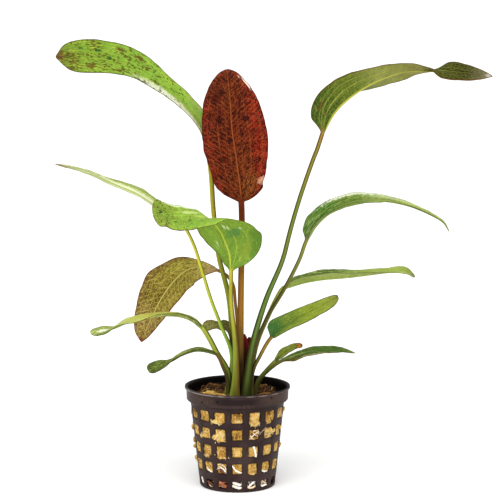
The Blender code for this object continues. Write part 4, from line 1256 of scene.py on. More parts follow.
OLIVE = LeafFinish(
    above=((0, 0.38, 0.23, 0.1), (0.12, 0.36, 0.28, 0.07), (0.3, 0.21, 0.165, 0.018),
        (0.6, 0.135, 0.088, 0.007), (0.85, 0.215, 0.125, 0.044), (1, 0.2, 0.1, 0.03)),
    beneath=((0, 0.34, 0.22, 0.11), (0.5, 0.3, 0.22, 0.09), (1, 0.28, 0.2, 0.08)),
    stalk=((0, *CROWN_SHADE), (0.3, 0.12, 0.08, 0.02), (0.7, 0.28, 0.14, 0.03), (1, 0.25, 0.1, 0.03)),
    vein=(0.46, 0.4, 0.1), margin=(0.12, 0.035, 0.01), margin_width=0.85,
    fleck=(0.075, 0.045, 0.008), midrib_share=0.9, side_share=0.5, cross_share=0.5, line_share=0.1,
    net_share=0.4, vein_width=0.45, cross_spacing=3, cover_above=0.44, cover_beneath=0.35,
    fleck_length=2.4, fleck_scale=1.9, fleck_share=0.75, spot_cover=0.14, spot_scale=1.1,
    mottle=0.5, light=Flecks((0.38, 0.32, 0.045), 0.45, 0.34, 3, 1.9),
    tints=marks(ABOVE, (0.3, 0.27, 0.035, -0.45, 0.3, 0.3, 0.16, 0.7),
        (0.12, 0.055, 0.012, -0.88, 0.5, 0.26, 0.4, 0.8),
        (0.3, 0.23, 0.04, 0.6, 0.6, 0.4, 0.2, 0.5)),
    patches=marks(BOTH, (0.42, 0.27, 0.14, 0.4, 0.05, 1.2, 0.08, 0.6),
        (0.16, 0.035, 0.016, 0, 1, 1.2, 0.04, 0.9)), roughness=0.44)
SMALL_OLIVE = LeafFinish(
    above=((0, 0.055, 0.045, 0.014), (0.3, 0.06, 0.065, 0.016), (0.5, 0.13, 0.14, 0.034),
        (0.8, 0.22, 0.22, 0.06), (1, 0.3, 0.25, 0.07)),
    beneath=((0, 0.12, 0.1, 0.03), (1, 0.24, 0.2, 0.06)),
    stalk=((0, 0.05, 0.04, 0.014), (0.4, 0.03, 0.012, 0.004), (0.8, 0.05, 0.016, 0.006),
        (1, 0.07, 0.04, 0.01)), vein=(0.26, 0.22, 0.06), margin=(0.07, 0.035, 0.01),
    fleck=(0.03, 0.025, 0.006), cover_above=0.45, vein_width=0.35, net_share=0.3)
ARCHING = LeafFinish(
    above=((0, 0.17, 0.22, 0.03), (0.16, 0.2, 0.25, 0.035), (0.32, 0.33, 0.35, 0.06),
        (0.5, 0.36, 0.34, 0.04), (0.62, 0.39, 0.4, 0.08), (0.74, 0.33, 0.37, 0.12),
        (0.85, 0.16, 0.21, 0.035), (1, 0.2, 0.26, 0.07)),
    beneath=((0, 0.12, 0.16, 0.03), (0.3, 0.2, 0.25, 0.05), (0.5, 0.35, 0.4, 0.1),
        (1, 0.24, 0.3, 0.08)),
    stalk=((0, 0.06, 0.07, 0.015), (0.25, 0.13, 0.16, 0.02), (0.6, 0.25, 0.3, 0.03),
        (1, 0.4, 0.42, 0.06)), vein=(0.5, 0.54, 0.16), margin=(0.035, 0.045, 0.01),
    cross_share=0.1, line_share=0.4, lines=5, margin_width=0.6,
    light=Flecks((0.56, 0.55, 0.17), 0.6, 0.34, 6), left=(0.4, 0.44, 0.06, 0.5),
    right=(0.035, 0.06, 0.012, 0.85),
    # painted highlight: the pale patch near the tip
    patches=marks(BOTH, (0.72, 0.76, 0.55, 0.2, 0.9, 0.5, 0.06, 0.9))
        + marks(ABOVE, (0.09, 0.15, 0.022, 0.7, 0.9, 0.4, 0.08, 0.6),
        (0.06, 0.1, 0.018, 0.8, 0.16, 0.5, 0.18, 0.8)))
LOWEST_GREEN = LeafFinish(
    above=((0, 0.045, 0.065, 0.01), (0.3, 0.055, 0.085, 0.01), (0.55, 0.1, 0.13, 0.016),
        (0.68, 0.03, 0.045, 0.006), (0.85, 0.028, 0.048, 0.005), (1, 0.026, 0.036, 0.005)),
    beneath=((0, 0.08, 0.11, 0.02), (1, 0.08, 0.12, 0.02)),
    stalk=((0, 0.05, 0.06, 0.014), (0.5, 0.055, 0.045, 0.012), (1, 0.16, 0.09, 0.025)),
    vein=(0.3, 0.36, 0.09), margin=(0.03, 0.03, 0.007), line_share=0.3, lines=5, vein_width=0.35,
    margin_width=0.6, light=Flecks((0.26, 0.33, 0.06), 0.5, 0.32, 3),
    patches=marks(ABOVE, (0.33, 0.38, 0.1, -0.2, 0.47, 0.6, 0.12, 0.5)))
ROLLED_RED = LeafFinish(
    above=((0, 0.025, 0.012, 0.005), (0.5, 0.035, 0.008, 0.005), (0.75, 0.12, 0.008, 0.007),
        (1, 0.26, 0.014, 0.01)),
    beneath=((0, 0.025, 0.012, 0.005), (0.5, 0.03, 0.008, 0.005), (0.75, 0.08, 0.007, 0.005),
        (1, 0.16, 0.01, 0.008)),
    stalk=((0, 0.04, 0.035, 0.01), (0.5, 0.035, 0.014, 0.007), (1, 0.045, 0.012, 0.007)),
    vein=(0.1, 0.025, 0.014), margin=(0.03, 0.004, 0.003), mottle=0.45)
ROLLED_PURPLE = LeafFinish(
    above=((0, 0.024, 0.01, 0.006), (0.6, 0.03, 0.007, 0.006), (0.85, 0.06, 0.008, 0.007),
        (1, 0.12, 0.012, 0.01)),
    beneath=((0, 0.02, 0.01, 0.006), (0.6, 0.03, 0.008, 0.006), (1, 0.09, 0.01, 0.008)),
    stalk=((0, 0.03, 0.022, 0.01), (0.5, 0.025, 0.012, 0.006), (1, 0.03, 0.009, 0.007)),
    vein=(0.09, 0.025, 0.018), margin=(0.02, 0.004, 0.003), mottle=0.45)

LEAVES = (
    ("leaf_tall_spotted", "leaf_spotted", TALL_SPOTTED, SPOTTED),
    ("leaf_tall_red", "leaf_red", TALL_RED, RED),
    ("leaf_tall_twisted", "leaf_green", TALL_TWISTED, TWISTED),
    ("leaf_mid_right", "leaf_green", MID_RIGHT, MID),
    ("leaf_low_right", "leaf_green", LOW_RIGHT, LOW),
    ("leaf_oval_right", "leaf_green", OVAL_RIGHT, OVAL),
    ("leaf_short_right", "leaf_green", SHORT_RIGHT, SHORT),
    ("leaf_lowest_right", "leaf_green", LOWEST_RIGHT, LOWEST),
    ("leaf_folded_front", "leaf_spotted", FOLDED_FRONT, FOLDED),
    ("leaf_long_left", "leaf_green", LONG_LEFT, LONG),
    ("leaf_drooping_left", "leaf_olive", DROOPING_LEFT, OLIVE),
    ("leaf_small_left", "leaf_olive", SMALL_LEFT, SMALL_OLIVE),
    ("leaf_arching_left", "leaf_green", ARCHING_LEFT, ARCHING),
    ("leaf_lowest_left", "leaf_green", LOWEST_LEFT, LOWEST_GREEN),
    ("young_leaf_red", "leaf_red", YOUNG_RED, ROLLED_RED),
    ("young_leaf_purple", "leaf_purple", YOUNG_PURPLE, ROLLED_PURPLE),
)


# Pot ----------------------------------------------------------------------------------------------


@dataclass(frozen=True)
class PotSize:
    """Sizes of the grid pot."""

    height: float = 50
    foot: float = 18.7
    wall_top: float = 23.4
    wall: float = 1
    columns: int = 16
    steps: int = 12  # round the pot for a column
    window_steps: int = 8  # of them, those of its window
    rows: tuple[tuple[float, float], ...] = (
        (1.5, 5.6), (9.2, 14.8), (17.9, 23.5), (26.6, 32.2), (35.2, 40.8))
    floor_window: tuple[float, float] = (7, 15)
    rim_height: float = 6.8
    rim: float = 25.2
    lip: float = 26.25
    corner: float = 0.7
    rounding: float = 0.3
    edge: float = 0.2

    @property
    def under(self) -> float:
        """Height of the rim band's underside, where the tapered wall ends."""
        return self.height - self.rim_height

    def wall_radius(self, height: Any) -> Any:
        """Outer radius of the tapered wall at that height."""
        return self.foot + (self.wall_top - self.foot) * height / self.under

    def column_angle(self, column: Any) -> Any:
        """Angle of the middle of a column, counted to the right from the front."""
        return -pi / 2 + tau * column / self.columns

    def column_at(self, angle: Any) -> Any:
        """The place round the pot in columns, counted to the right from the front."""
        return (angle - self.column_angle(0)) / tau * self.columns

    def in_window(self, angle: Any, height: Any) -> Any:
        """How far a place on the wall lies inside a window, from 0 at its bars to 1."""
        turn = self.column_at(angle)
        up = 0 * turn
        for sill, head in self.rows:
            up = np.maximum(up, ease(0, 0.5, height - sill) * ease(0, 0.5, head - height))
        return ease(0.66, 0.56, np.abs(turn - np.rint(turn)) * 2) * up


@dataclass
class Pot:
    """The grid pot of dark plastic: a moulded basket with rows of windows and a rim with a lip."""

    size: PotSize
    NEAR = 0.05  # how near in height a corner is to its window's sill or head
    FLOOR_LEVEL = 0.2  # what is lower belongs to the floor

    def profile(self) -> list[tuple[float, float]]:
        """Radius and height of each ring of the outer skin, from the floor's middle to the lip."""
        size = self.size
        low, high = size.floor_window
        rings = [(low + size.corner, 0), (high - size.corner, 0), (high, 0), (size.foot - 0.5, 0),
                 (size.foot, 0.4)]
        for sill, head in size.rows:
            rings += [(size.wall_radius(z), z)
                      for z in (sill, sill + size.corner, head - size.corner, head)]
        under, rim, top = size.under, size.rim, size.height
        return rings + [
            (size.wall_top - 0.1, under - 0.8), (size.wall_top, under - 0.15), (rim - 0.35, under),
            (rim, under + 0.45), (rim + 0.12, under + 3.2), (rim + 0.2, top - 1.35),
            (rim + 0.32, top - 1.1), (size.lip - 0.05, top - 1)]

    def turn_step(self, place: Vector) -> float:
        """Steps round the pot from the start of a column, up to the steps of one column."""
        size = self.size
        start = size.column_angle(0) - size.window_steps / 2 * tau / size.columns / size.steps
        turn = (atan2(place.y, place.x) - start) % tau / tau
        return turn * size.columns * size.steps % size.steps

    def draw_rings(self, piece: Piece) -> None:
        """Extrudes the floor's edge out and up through every ring."""
        reach, rise = self.size.floor_window[0], 0
        with Bench.editing(piece, "EDGE"):
            bpy.ops.mesh.select_non_manifold(
                extend=False, use_wire=False, use_boundary=True, use_multi_face=False,
                use_non_contiguous=False, use_verts=False)
            for radius, height in self.profile():
                up = (0, 0, (height - rise) * MM)
                bpy.ops.mesh.extrude_region_move(TRANSFORM_OT_translate={"value": up})
                share = radius / reach
                bpy.ops.transform.resize(value=(share, share, 1), center_override=(0, 0, 0))
                reach, rise = radius, height
            bpy.ops.mesh.select_all(action="SELECT")
            bpy.ops.mesh.flip_normals()

    def is_window(self, face: bmesh.types.BMFace) -> bool:
        """Whether a face of the skin is part of a window."""
        middle = face.calc_center_median()
        if self.turn_step(middle) > self.size.window_steps:
            return False
        height, reach = middle.z / MM, middle.xy.length / MM
        if height < self.FLOOR_LEVEL:
            low, high = self.size.floor_window
            return low < reach < high
        return any(sill < height < head for sill, head in self.size.rows)

    def cut_windows(self, piece: Piece) -> None:
        """Takes the windows out."""
        with Bench.editing(piece, "FACE") as mesh:
            for face in mesh.faces:
                face.select_set(self.is_window(face))
            bpy.ops.mesh.delete(type="FACE")

    def round_corners(self, piece: Piece) -> None:
        """Draws the corners of every window in towards its middle."""
        size = self.size
        with Bench.editing(piece) as mesh:
            for corner in mesh.verts:
                step = round(self.turn_step(corner.co)) % size.steps
                if step not in (0, size.window_steps) or not corner.is_boundary:
                    continue
                x, y, height = (value / MM for value in corner.co)
                for sill, head in size.rows:
                    if min(abs(height - sill), abs(height - head)) < self.NEAR:
                        inward = 1 if step == 0 else -1
                        up = size.rounding if abs(height - sill) < self.NEAR else -size.rounding
                        turn = inward * size.rounding / size.wall_radius(height)
                        moved = Vector((x * cos(turn) - y * sin(turn),
                                        x * sin(turn) + y * cos(turn), height + up))
                        corner.co = moved * MM

    def build(self, material: bpy.types.Material) -> None:
        """Moulds the pot."""
        size = self.size
        Bench.clear()
        bpy.ops.mesh.primitive_circle_add(
            vertices=size.columns * size.steps, radius=size.floor_window[0] * MM,
            fill_type="TRIFAN", location=(0, 0, 0))
        piece = Bench.added("pot_basket")
        self.draw_rings(piece)
        self.cut_windows(piece)
        self.round_corners(piece)
        Bench.apply(piece, "SOLIDIFY", thickness=size.wall * MM, offset=-1, use_even_offset=True)
        Bench.apply(piece, "BEVEL", width=size.edge * MM, segments=2, limit_method="ANGLE",
                    angle_limit=radians(42), use_clamp_overlap=True)
        Bench.smooth(piece, 32)
        enlist(piece, material, "pot_plastic", "grid_pot")


RIM_CHIPS = ((16.7, -19.1, 47.4), (-17.3, -18.5, 45.2), (-9.5, -23.5, 46.4))


def plastic_material(size: PotSize) -> bpy.types.Material:
    """Dark brown plastic with faint flow marks, scuffs and specks, painted shade and light on the
    rim band, a painted highlight round the lip, and painted near-black shade inside and on the
    lip's top.

    Args:
        size: Sizes of the pot, which tell its inner face from its outer one.

    Returns:
        The material.
    """
    paint = Paint("pot plastic", Specular_IOR_Level=0.02, Coat_Roughness=0.4)
    graph = paint.graph
    place = graph.solid_place()
    x, y, z = (axis / MM for axis in graph.split(place))
    reach, aside = graph.math("SQRT", x * x + y * y), abs(x)
    wall = z * ((size.wall_top - size.foot) / size.under) + (size.foot - 0.7 * size.wall)
    wall = wall + graph.rise(z, size.under - 0.3, size.under + 0.3) * 1.5
    inside = graph.rise(wall - reach, -0.1, 0.25)
    cloud = graph.noise(place, 90, 3, 0.55, 0.5)
    flow = graph.noise(graph.scaled(place, (1, 1, 0.12)), 700)
    colour = graph.ramp(cloud, (0.3, 0.022, 0.0115, 0.0105), (0.7, 0.042, 0.0245, 0.0225))
    middle = graph.rise(z, 44.2, 45.4) * graph.rise(z, 48.6, 47.2)
    # painted light: the rim band is paler at its left and right sides
    vein_fade_and_lit_sides = graph.rise(z, 43.6, 44.6) * graph.rise(aside, 8, 17)
    light = graph.rise(graph.cells(place, 620), 0.24, 0.1)
    light = light * graph.rise(graph.noise(place, 160, 1), 0.56, 0.62)
    dark = graph.rise(graph.cells(place, 410), 0.3, 0.12)
    dark = dark * graph.rise(graph.noise(place, 120, 1), 0.44, 0.38)
    scuff = graph.noise(graph.scaled(place, (0.2, 0.2, 1.6)), 1500, 2, 0.7, 1.5)
    scuff = graph.rise(scuff, 0.63, 0.7) * graph.rise(graph.noise(place, 70), 0.5, 0.62)
    ragged = graph.noise(graph.scaled(place, (1, 1, 1.6)), 900, 2, 0.6) * 1.6
    chips = []
    for chip in RIM_CHIPS:
        apart = graph.distance(place, tuple(axis * MM for axis in chip)) / MM
        chips.append(graph.rise(apart + ragged, 1.6, 1.3))
    # painted highlight: a pale ring round the lip's outer edge
    painted_lip_highlight = graph.rise(z, 48.95, 49.2) * graph.rise(z, 49.62, 49.45)
    painted_lip_highlight = painted_lip_highlight * graph.rise(graph.noise(place, 110, 2, 0.6), 0.4, 0.58)
    # painted shade: the inside of the pot and the lip's top are near black
    crest = graph.rise(z, 49.5, 49.75) * graph.rise(reach, 26.16, 25.96)
    black = graph.most(inside, crest)
    # painted shade: the rim band is darker at its front middle
    for mask, laid in ((middle * graph.rise(aside, 15, 5, (0.15, 0.85)), (0.009, 0.0045, 0.004, 1)),
                       (vein_fade_and_lit_sides, (0.07, 0.041, 0.031, 0.5)), (light, (0.16, 0.12, 0.1, 0.4)),
                       (dark, (0.008, 0.006, 0.006, 0.7)), (scuff, (0.11, 0.08, 0.07, 0.35)),
                       *((chip, (0.004, 0.003, 0.003, 0.9)) for chip in chips),
                       (painted_lip_highlight, (0.27, 0.22, 0.2, 0.7)), (black, (0.003, 0.0024, 0.0022, 0.97))):
        colour = graph.wash(mask, colour, laid)
    lip = graph.rise(z, 48.9, 49.3) * graph.rise(x, 8, -12)
    grain = flow * 0.35 + graph.noise(place, 2200, 2, 0.6) * 0.4
    return paint.set(Base_Color=colour, Coat_Weight=(lip * 0.7 + 0.17) * (1 - black * 0.95),
                     Roughness=graph.rise(cloud, 0.3, 0.7, (0.34, 0.5)) + scuff * 0.2,
                     Normal=graph.bump(grain - graph.most(scuff, dark) * 0.5, 0.09, 0.7))


# Strands: fibres and roots ------------------------------------------------------------------------


class Strands:
    """Many thin tubes in one piece, each along its own path."""

    SIDEWAYS = np.array([0.31, 0.17, 0.93])  # a direction that no path starts out in
    TINY = 1e-9

    @staticmethod
    def frames(paths: np.ndarray) -> tuple[np.ndarray, np.ndarray]:
        """Two directions square to each path that turn along with it."""
        tangent = np.gradient(paths, axis=1)
        tangent /= np.linalg.norm(tangent, axis=2)[..., None] + Strands.TINY
        first = np.cross(tangent[:, 0], Strands.SIDEWAYS)
        normal = np.zeros_like(paths)
        for step in range(paths.shape[1]):
            first = first - tangent[:, step] * np.sum(first * tangent[:, step], axis=1)[:, None]
            first /= np.linalg.norm(first, axis=1)[:, None] + Strands.TINY
            normal[:, step] = first
        return normal, np.cross(tangent, normal)

    @staticmethod
    def build(name: str, paths: np.ndarray, radii: np.ndarray, tone: np.ndarray,
              sides: int) -> Piece:
        """Rolls one long grid up into as many tubes as there are paths.

        Args:
            name: Name of the piece.
            paths: Points of each path, in millimetres.
            radii: Radius at each point, 0 at both ends.
            tone: Tone of each tube, to be noted on the mesh with the share of its length.
            sides: Faces round each tube.

        Returns:
            The piece.
        """
        count, steps, _ = paths.shape
        piece, column, row = Bench.grid(name, sides, count * steps - 1)
        strand, step = row // steps, row % steps
        normal, other = (side[strand, step] for side in Strands.frames(paths))
        angle = (tau * (column % sides) / sides)[:, None]
        around = normal * np.cos(angle) + other * np.sin(angle)
        Bench.place(piece, paths[strand, step] + around * radii[strand, step][:, None])
        Bench.note(piece, "tone", tone[strand])
        Bench.note(piece, "share", step / (steps - 1))
        with Bench.editing(piece, "FACE") as mesh:
            for face in mesh.faces:
                face.select_set(len({int(strand[corner.index]) for corner in face.verts}) > 1)
            bpy.ops.mesh.delete(type="FACE")
        Bench.close(piece, 0.0002, capped=False)
        Bench.smooth(piece, 180)
        return piece


# Mineral wool -------------------------------------------------------------------------------------


@dataclass(frozen=True)
class WoolSize:
    """Sizes of the plug of mineral wool and of its fibres."""

    top: float = 44.5
    bottom: float = 8.6
    clearance: float = 1.3
    shoulder: float = 1.6  # from the top down to where the side begins
    heel: float = 0.9  # from the bottom up to where the side ends
    socket_centre: tuple[float, float] = (1.6, -0.4)
    socket_radius: float = 8.6
    socket_bottom: float = 32
    bulge: float = 0.95
    round_steps: int = 480
    side_rings: int = 150
    top_rings: int = 30
    side_strands: int = 3400
    top_strands: int = 900
    strays: int = 620
    strand_steps: int = 7
    tangle_reach: float = 20.6
    tangle_limit: float = 21
    tangle_top: float = 48.7
    pale_angle: float = 212  # degrees round the plug where the pale fibres lie


class Wool:
    """The plug of mineral wool: its body, the fibres in its windows and the tangle on its top."""

    SLOT = "mineral_wool"
    TONE_RADIUS = 22  # of the side, where the tones are laid

    def __init__(self, size: WoolSize, pot: PotSize) -> None:
        """Keeps the plug's sizes and those of the pot round it."""
        self.size = size
        self.pot = pot
        self.random = np.random.default_rng(11)

    def side_radius(self, angle: np.ndarray, height: Any) -> np.ndarray:
        """Radius of the plug's side, which swells into the windows."""
        wall = self.pot.wall_radius(height)
        lumpy = lumps(np.cos(angle), np.sin(angle), height / 20, 0.21, 3)
        swell = self.pot.in_window(angle, height) * (self.size.bulge + 0.45 * lumpy)
        reach = wall - self.size.clearance - 0.05 + swell
        spill, out = self.spill(angle, height)
        return reach + spill * np.maximum(wall + out + 0.35 * lumpy - reach, 0)

    def spill(self, angle: np.ndarray, height: Any) -> tuple[np.ndarray, np.ndarray]:
        """Where the wool spills over the bars: how far, from 0 to 1, and how proud of the wall."""
        turn = self.column(angle)
        share, out = 0 * turn, 0 * turn
        ragged = lumps(turn * 9, height, 0, 1.1, 7)
        for middle, level, wide, tall, proud in WOOL_SPILLS:
            apart = np.sqrt(((turn - middle) / wide) ** 2 + ((height - level) / tall) ** 2)
            inside = ease(1.05, 0.75, apart + 0.5 * ragged)
            share, out = np.maximum(share, inside), np.maximum(out, inside * proud)
        return share, out

    def column(self, angle: np.ndarray) -> np.ndarray:
        """The place round the pot in columns, from minus half of them to plus half."""
        half = self.pot.columns / 2
        return (self.pot.column_at(angle) + half) % self.pot.columns - half

    def top_height(self, x: np.ndarray, y: np.ndarray) -> np.ndarray:
        """Height of the plug's top, lumpy and raised behind the front of the rim."""
        lumpy = lumps(x, y, 0, 5.5, 9) + 0.5 * lumps(x, y, 0, 2.1, 4)
        mound = sum(rise * np.exp(-(((x - at_x) / wide) ** 2) - ((y - at_y) / wide) ** 2)
                    for at_x, at_y, wide, rise in WOOL_MOUNDS)
        return self.size.top - 0.5 + 1.1 * lumpy + mound

    def tone(self, angle: np.ndarray, height: np.ndarray) -> np.ndarray:
        """How much paler or darker the wool of the side is at each place; the darker spots at the
        windows' tops and edges are painted shade.
        """
        column = self.column(angle)
        width = tau * self.TONE_RADIUS / self.pot.columns
        change = 0 * column
        for middle, level, radius, amount in WOOL_TONES_AND_SHADE:
            apart = ((column - middle) * width) ** 2 + (height - level) ** 2
            change = change + amount * np.exp(-apart / radius**2)
        return change

    def rings(self) -> np.ndarray:
        """The plug's rings, from the middle of its socket over its top and down its side."""
        size = self.size
        angle = tau * np.arange(size.round_steps + 1) / size.round_steps
        side_top, side_foot = size.top - size.shoulder, size.bottom + size.heel
        low = size.socket_bottom
        centre = np.array([*size.socket_centre, 0])
        inner = on_circle(size.socket_radius, angle, 0) + centre
        outer = on_circle(self.side_radius(angle, side_top) - 0.9, angle, 0)
        rings = [on_circle(share * (size.socket_radius - 0.6), angle, height) + centre
                 for share, height in ((0.02, low), (0.5, low), (0.92, low), (1, low + 1),
                                       (1, low + 5), (1, low + 9))]
        for share in np.linspace(0, 1, size.top_rings):
            x, y, _ = (inner * (1 - share) + outer * share).T
            edges = 0.8 * ease(0.85, 1, share) + 0.7 * ease(0.12, 0, share)
            rings.append(np.stack([x, y, self.top_height(x, y) - edges], 1))
        rings += [on_circle(self.side_radius(angle, height), angle, height)
                  for height in np.linspace(side_top, side_foot, size.side_rings)]
        rings += [on_circle(share * self.side_radius(angle, side_foot), angle, size.bottom)
                  for share in (0.96, 0.5, 0.02)]
        return np.array(rings)

    def body(self, material: bpy.types.Material) -> None:
        """Rolls the plug up from a grid, with painted shade where the wool lies under the bars."""
        rings = self.rings()
        angles, heights = np.arctan2(rings[..., 1], rings[..., 0]), rings[..., 2]
        open_share = np.maximum(self.pot.in_window(angles, heights), self.spill(angles, heights)[0])
        # painted shade: the wool under the bars is darker
        shade = self.tone(angles, heights) - 0.5 * (1 - open_share)
        piece = Bench.roll("wool_body", rings, {"shade": shade}, SMOOTH_ANGLE)
        enlist(piece, material, self.SLOT, "wool_plug")

    def curls(self, count: int, length: tuple[float, float], heading: np.ndarray) -> np.ndarray:
        """Flat curled lines about their middles: x along the first axis and y along the second."""
        rng, steps = self.random, self.size.strand_steps
        reach = rng.uniform(*length, count)[:, None]
        share = np.linspace(-0.5, 0.5, steps)
        curve = rng.normal(0, 0.9, count)[:, None]
        wiggle = rng.normal(0, 0.5, count)[:, None]
        angle = heading[:, None] + curve * share * 2 + wiggle * np.sin(share * 9)
        step = reach / (steps - 1)
        line = np.cumsum(np.stack([np.cos(angle), np.sin(angle)], -1) * step[..., None], 1)
        return line - line[:, steps // 2, None]

    def radii(self, count: int, thin: float, thick: float) -> np.ndarray:
        """Radii along as many strands, drawn to a point at both ends."""
        share = np.linspace(0, 1, self.size.strand_steps)
        middle = self.random.uniform(thin, thick, count)[:, None]
        return middle * np.minimum(1, 4 * np.minimum(share, 1 - share)) * (share > 0) * (share < 1)

    def side_fibres(self, material: bpy.types.Material) -> None:
        """Fibres over the wool in the windows, some of which stray over the bars."""
        size, pot, rng = self.size, self.pot, self.random
        count = size.side_strands + size.strays
        stray = np.arange(count) >= size.side_strands
        column = rng.integers(0, pot.columns, count)
        rows = np.array(pot.rows[1:])[rng.integers(0, len(pot.rows) - 1, count)]
        column = column + rng.uniform(-0.36, 0.36, count)
        height = rng.uniform(rows[:, 0] - 0.2, rows[:, 1] + 0.2)
        backwards = rng.uniform(-1, 1, count) < 0
        spills = np.array(WOOL_SPILLS)[rng.integers(0, len(WOOL_SPILLS), count)]
        turn = spills[:, 0] + spills[:, 2] * rng.normal(0, 0.5, count)
        angle = pot.column_angle(np.where(stray, turn, column))
        level = spills[:, 1] + spills[:, 3] * rng.normal(0, 0.5, count)
        height = np.where(stray, level, height)
        heading = rng.uniform(0, pi, count)
        heading = np.where(stray, rng.normal(0, 0.9, count) + pi * backwards, heading)
        flat = self.curls(count, (2.2, 5.2), heading) * np.where(stray, 0.5, 1)[:, None, None]
        angles = angle[:, None] + flat[..., 0] / pot.wall_radius(height)[:, None]
        heights = np.clip(height[:, None] + flat[..., 1], size.bottom + 0.5, size.top - 2.2)
        base = self.side_radius(angles, heights)
        share = np.linspace(-1, 1, size.strand_steps)
        lift = rng.uniform(0.02, 0.3, count)[:, None]
        lift = lift + rng.uniform(0, 0.35, count)[:, None] * np.abs(share)
        over = np.maximum(pot.wall_radius(heights), base) - 0.3 + 0.5 * ease(-0.6, 0.1, share)
        over = over + rng.uniform(0, 0.3, count)[:, None]
        reach = np.where(stray[:, None], over, base + pot.in_window(angles, heights) * lift)
        tone = rng.normal(0.68, 0.22, count) + self.tone(angle, height) + 0.1 * stray
        # painted shade: fibres near the bars are darker
        tone = np.clip(tone - 0.45 * (1 - pot.in_window(angle, height)) * ~stray, 0, 1)
        piece = Strands.build("wool_side_fibres", on_circle(reach, angles, heights),
                              self.radii(count, 0.06, 0.14), tone, 3)
        enlist(piece, material, self.SLOT)

    def top_fibres(self, material: bpy.types.Material) -> None:
        """The brown tangle on the plug's top, with a few pale fibres at its front left."""
        size, rng = self.size, self.random
        count = size.top_strands
        angle = rng.uniform(0, tau, count)
        reach = np.sqrt(rng.uniform(0.16, 1, count)) * size.tangle_reach
        bright = np.arange(count) < count // 6
        angle = np.where(bright, rng.normal(radians(size.pale_angle), 0.4, count), angle)
        reach = np.where(bright, rng.uniform(11, 17.5, count), reach)
        flat = self.curls(count, (3, 8.5), rng.uniform(0, tau, count))
        place = on_circle(reach, angle, 0)[:, None, :2] + flat
        far = np.linalg.norm(place, axis=-1)
        pull = np.minimum(1, size.tangle_limit / np.maximum(far, 1e-6))
        x, y = np.moveaxis(place * pull[..., None], -1, 0)
        share = np.linspace(-1, 1, size.strand_steps)
        arch = rng.uniform(0.05, 1.3, count)[:, None] * (1 - share**2)
        arch = arch + rng.uniform(0, 0.35, count)[:, None]
        z = np.minimum(self.top_height(x, y) + arch, size.tangle_top)
        pale = rng.uniform(0.5, 0.85, count)
        tone = np.where(bright, pale, np.clip(rng.normal(0.2, 0.18, count), 0, 1))
        piece = Strands.build("wool_top_fibres", np.stack([x, y, z], -1),
                              self.radii(count, 0.07, 0.2), tone, 3)
        enlist(piece, material, self.SLOT)


WOOL_SPILLS = (  # column, height, half widths in columns and millimetres, how proud of the wall
    (-1.34, 35.9, 0.17, 1, 0.25), (-1.12, 35.3, 0.3, 0.8, 0.2), (-1.3, 27.8, 0.2, 1.6, 0.3),
    (-1, 26.6, 0.3, 0.9, 0.25), (1, 35, 0.24, 1.5, 0.3), (0.86, 34.8, 0.14, 1, 0.2),
    (1.16, 35.2, 0.12, 0.9, 0.25), (2.32, 29.8, 0.2, 1.2, 0.25), (1.78, 30.6, 0.16, 0.8, 0.2),
    (-0.95, 17.9, 0.3, 0.8, 0.2), (1.94, 35.1, 0.2, 0.6, 0.2), (-2.34, 27.6, 0.1, 1, 0.2),
    (-2, 17.8, 0.2, 0.7, 0.2), (-3.9, 29, 0.2, 1.2, 0.5), (-3.9, 22.6, 0.2, 1.3, 0.5),
    (-3.85, 19.4, 0.16, 1, 0.6), (-3.9, 13.6, 0.2, 1.3, 0.5), (3.34, 30, 0.1, 0.9, 0.2),
    (3.75, 20.4, 0.16, 0.9, 0.4), (3.7, 38.6, 0.16, 1, 0.3), (1, 9.4, 0.2, 0.6, 0.2),
    (5.2, 30, 0.3, 1.4, 0.4), (6.4, 20, 0.3, 1.3, 0.4), (7.6, 36, 0.3, 1.2, 0.3),
    (-6.7, 28, 0.3, 1.3, 0.3), (-5.4, 36.6, 0.3, 1.3, 0.4), (7, 12, 0.3, 1.2, 0.3),
    (-5.8, 14.6, 0.3, 1.3, 0.3))
WOOL_MOUNDS = (  # place and radius in millimetres, and rise
    (-13, 12, 7, 3.2), (-4, 15, 6, 2.2), (14, 9, 6, 2.6), (-14, -6, 6, 2.4), (-7, -10, 5, 2),
    (12, -9, 6, 0.8))
WOOL_TONES_AND_SHADE = (  # column, height, radius in millimetres and change of tone; the darker spots at the windows' tops and edges are painted shade in hollows
    (0, 39.9, 1.7, -0.5), (0, 29.4, 3, -0.28), (1.9, 40.2, 1.7, -0.5), (1.1, 29.5, 2.6, -0.35),
    (-2.9, 39.5, 2, -0.4), (-0.6, 32, 1.2, -0.3), (1, 38, 2.6, 0.2), (-1.1, 29.4, 3.2, 0.34),
    (0, 20.9, 3, 0.16), (2.2, 29.6, 2.6, 0.14), (-1, 20.6, 3, -0.08), (-1, 11.4, 2.6, -0.25),
    (0, 12, 2.4, -0.1), (1, 11.8, 2.4, -0.05), (-2, 12.6, 1.4, -0.3), (1.4, 22.8, 1.2, -0.4),
    (0.2, 35.6, 1.2, 0.3), (-1.2, 35.7, 1.4, 0.35), (-3.4, 37, 2, -0.5), (-3.45, 28.6, 2.2, -0.4),
    (0.75, 29.4, 1.6, -0.3), (-0.3, 27.4, 1.4, -0.3), (2, 21, 2.6, 0.08), (2, 12.8, 2.4, -0.15),
    (-2.1, 20.6, 2.4, -0.08), (-2.1, 38, 2.2, -0.06))


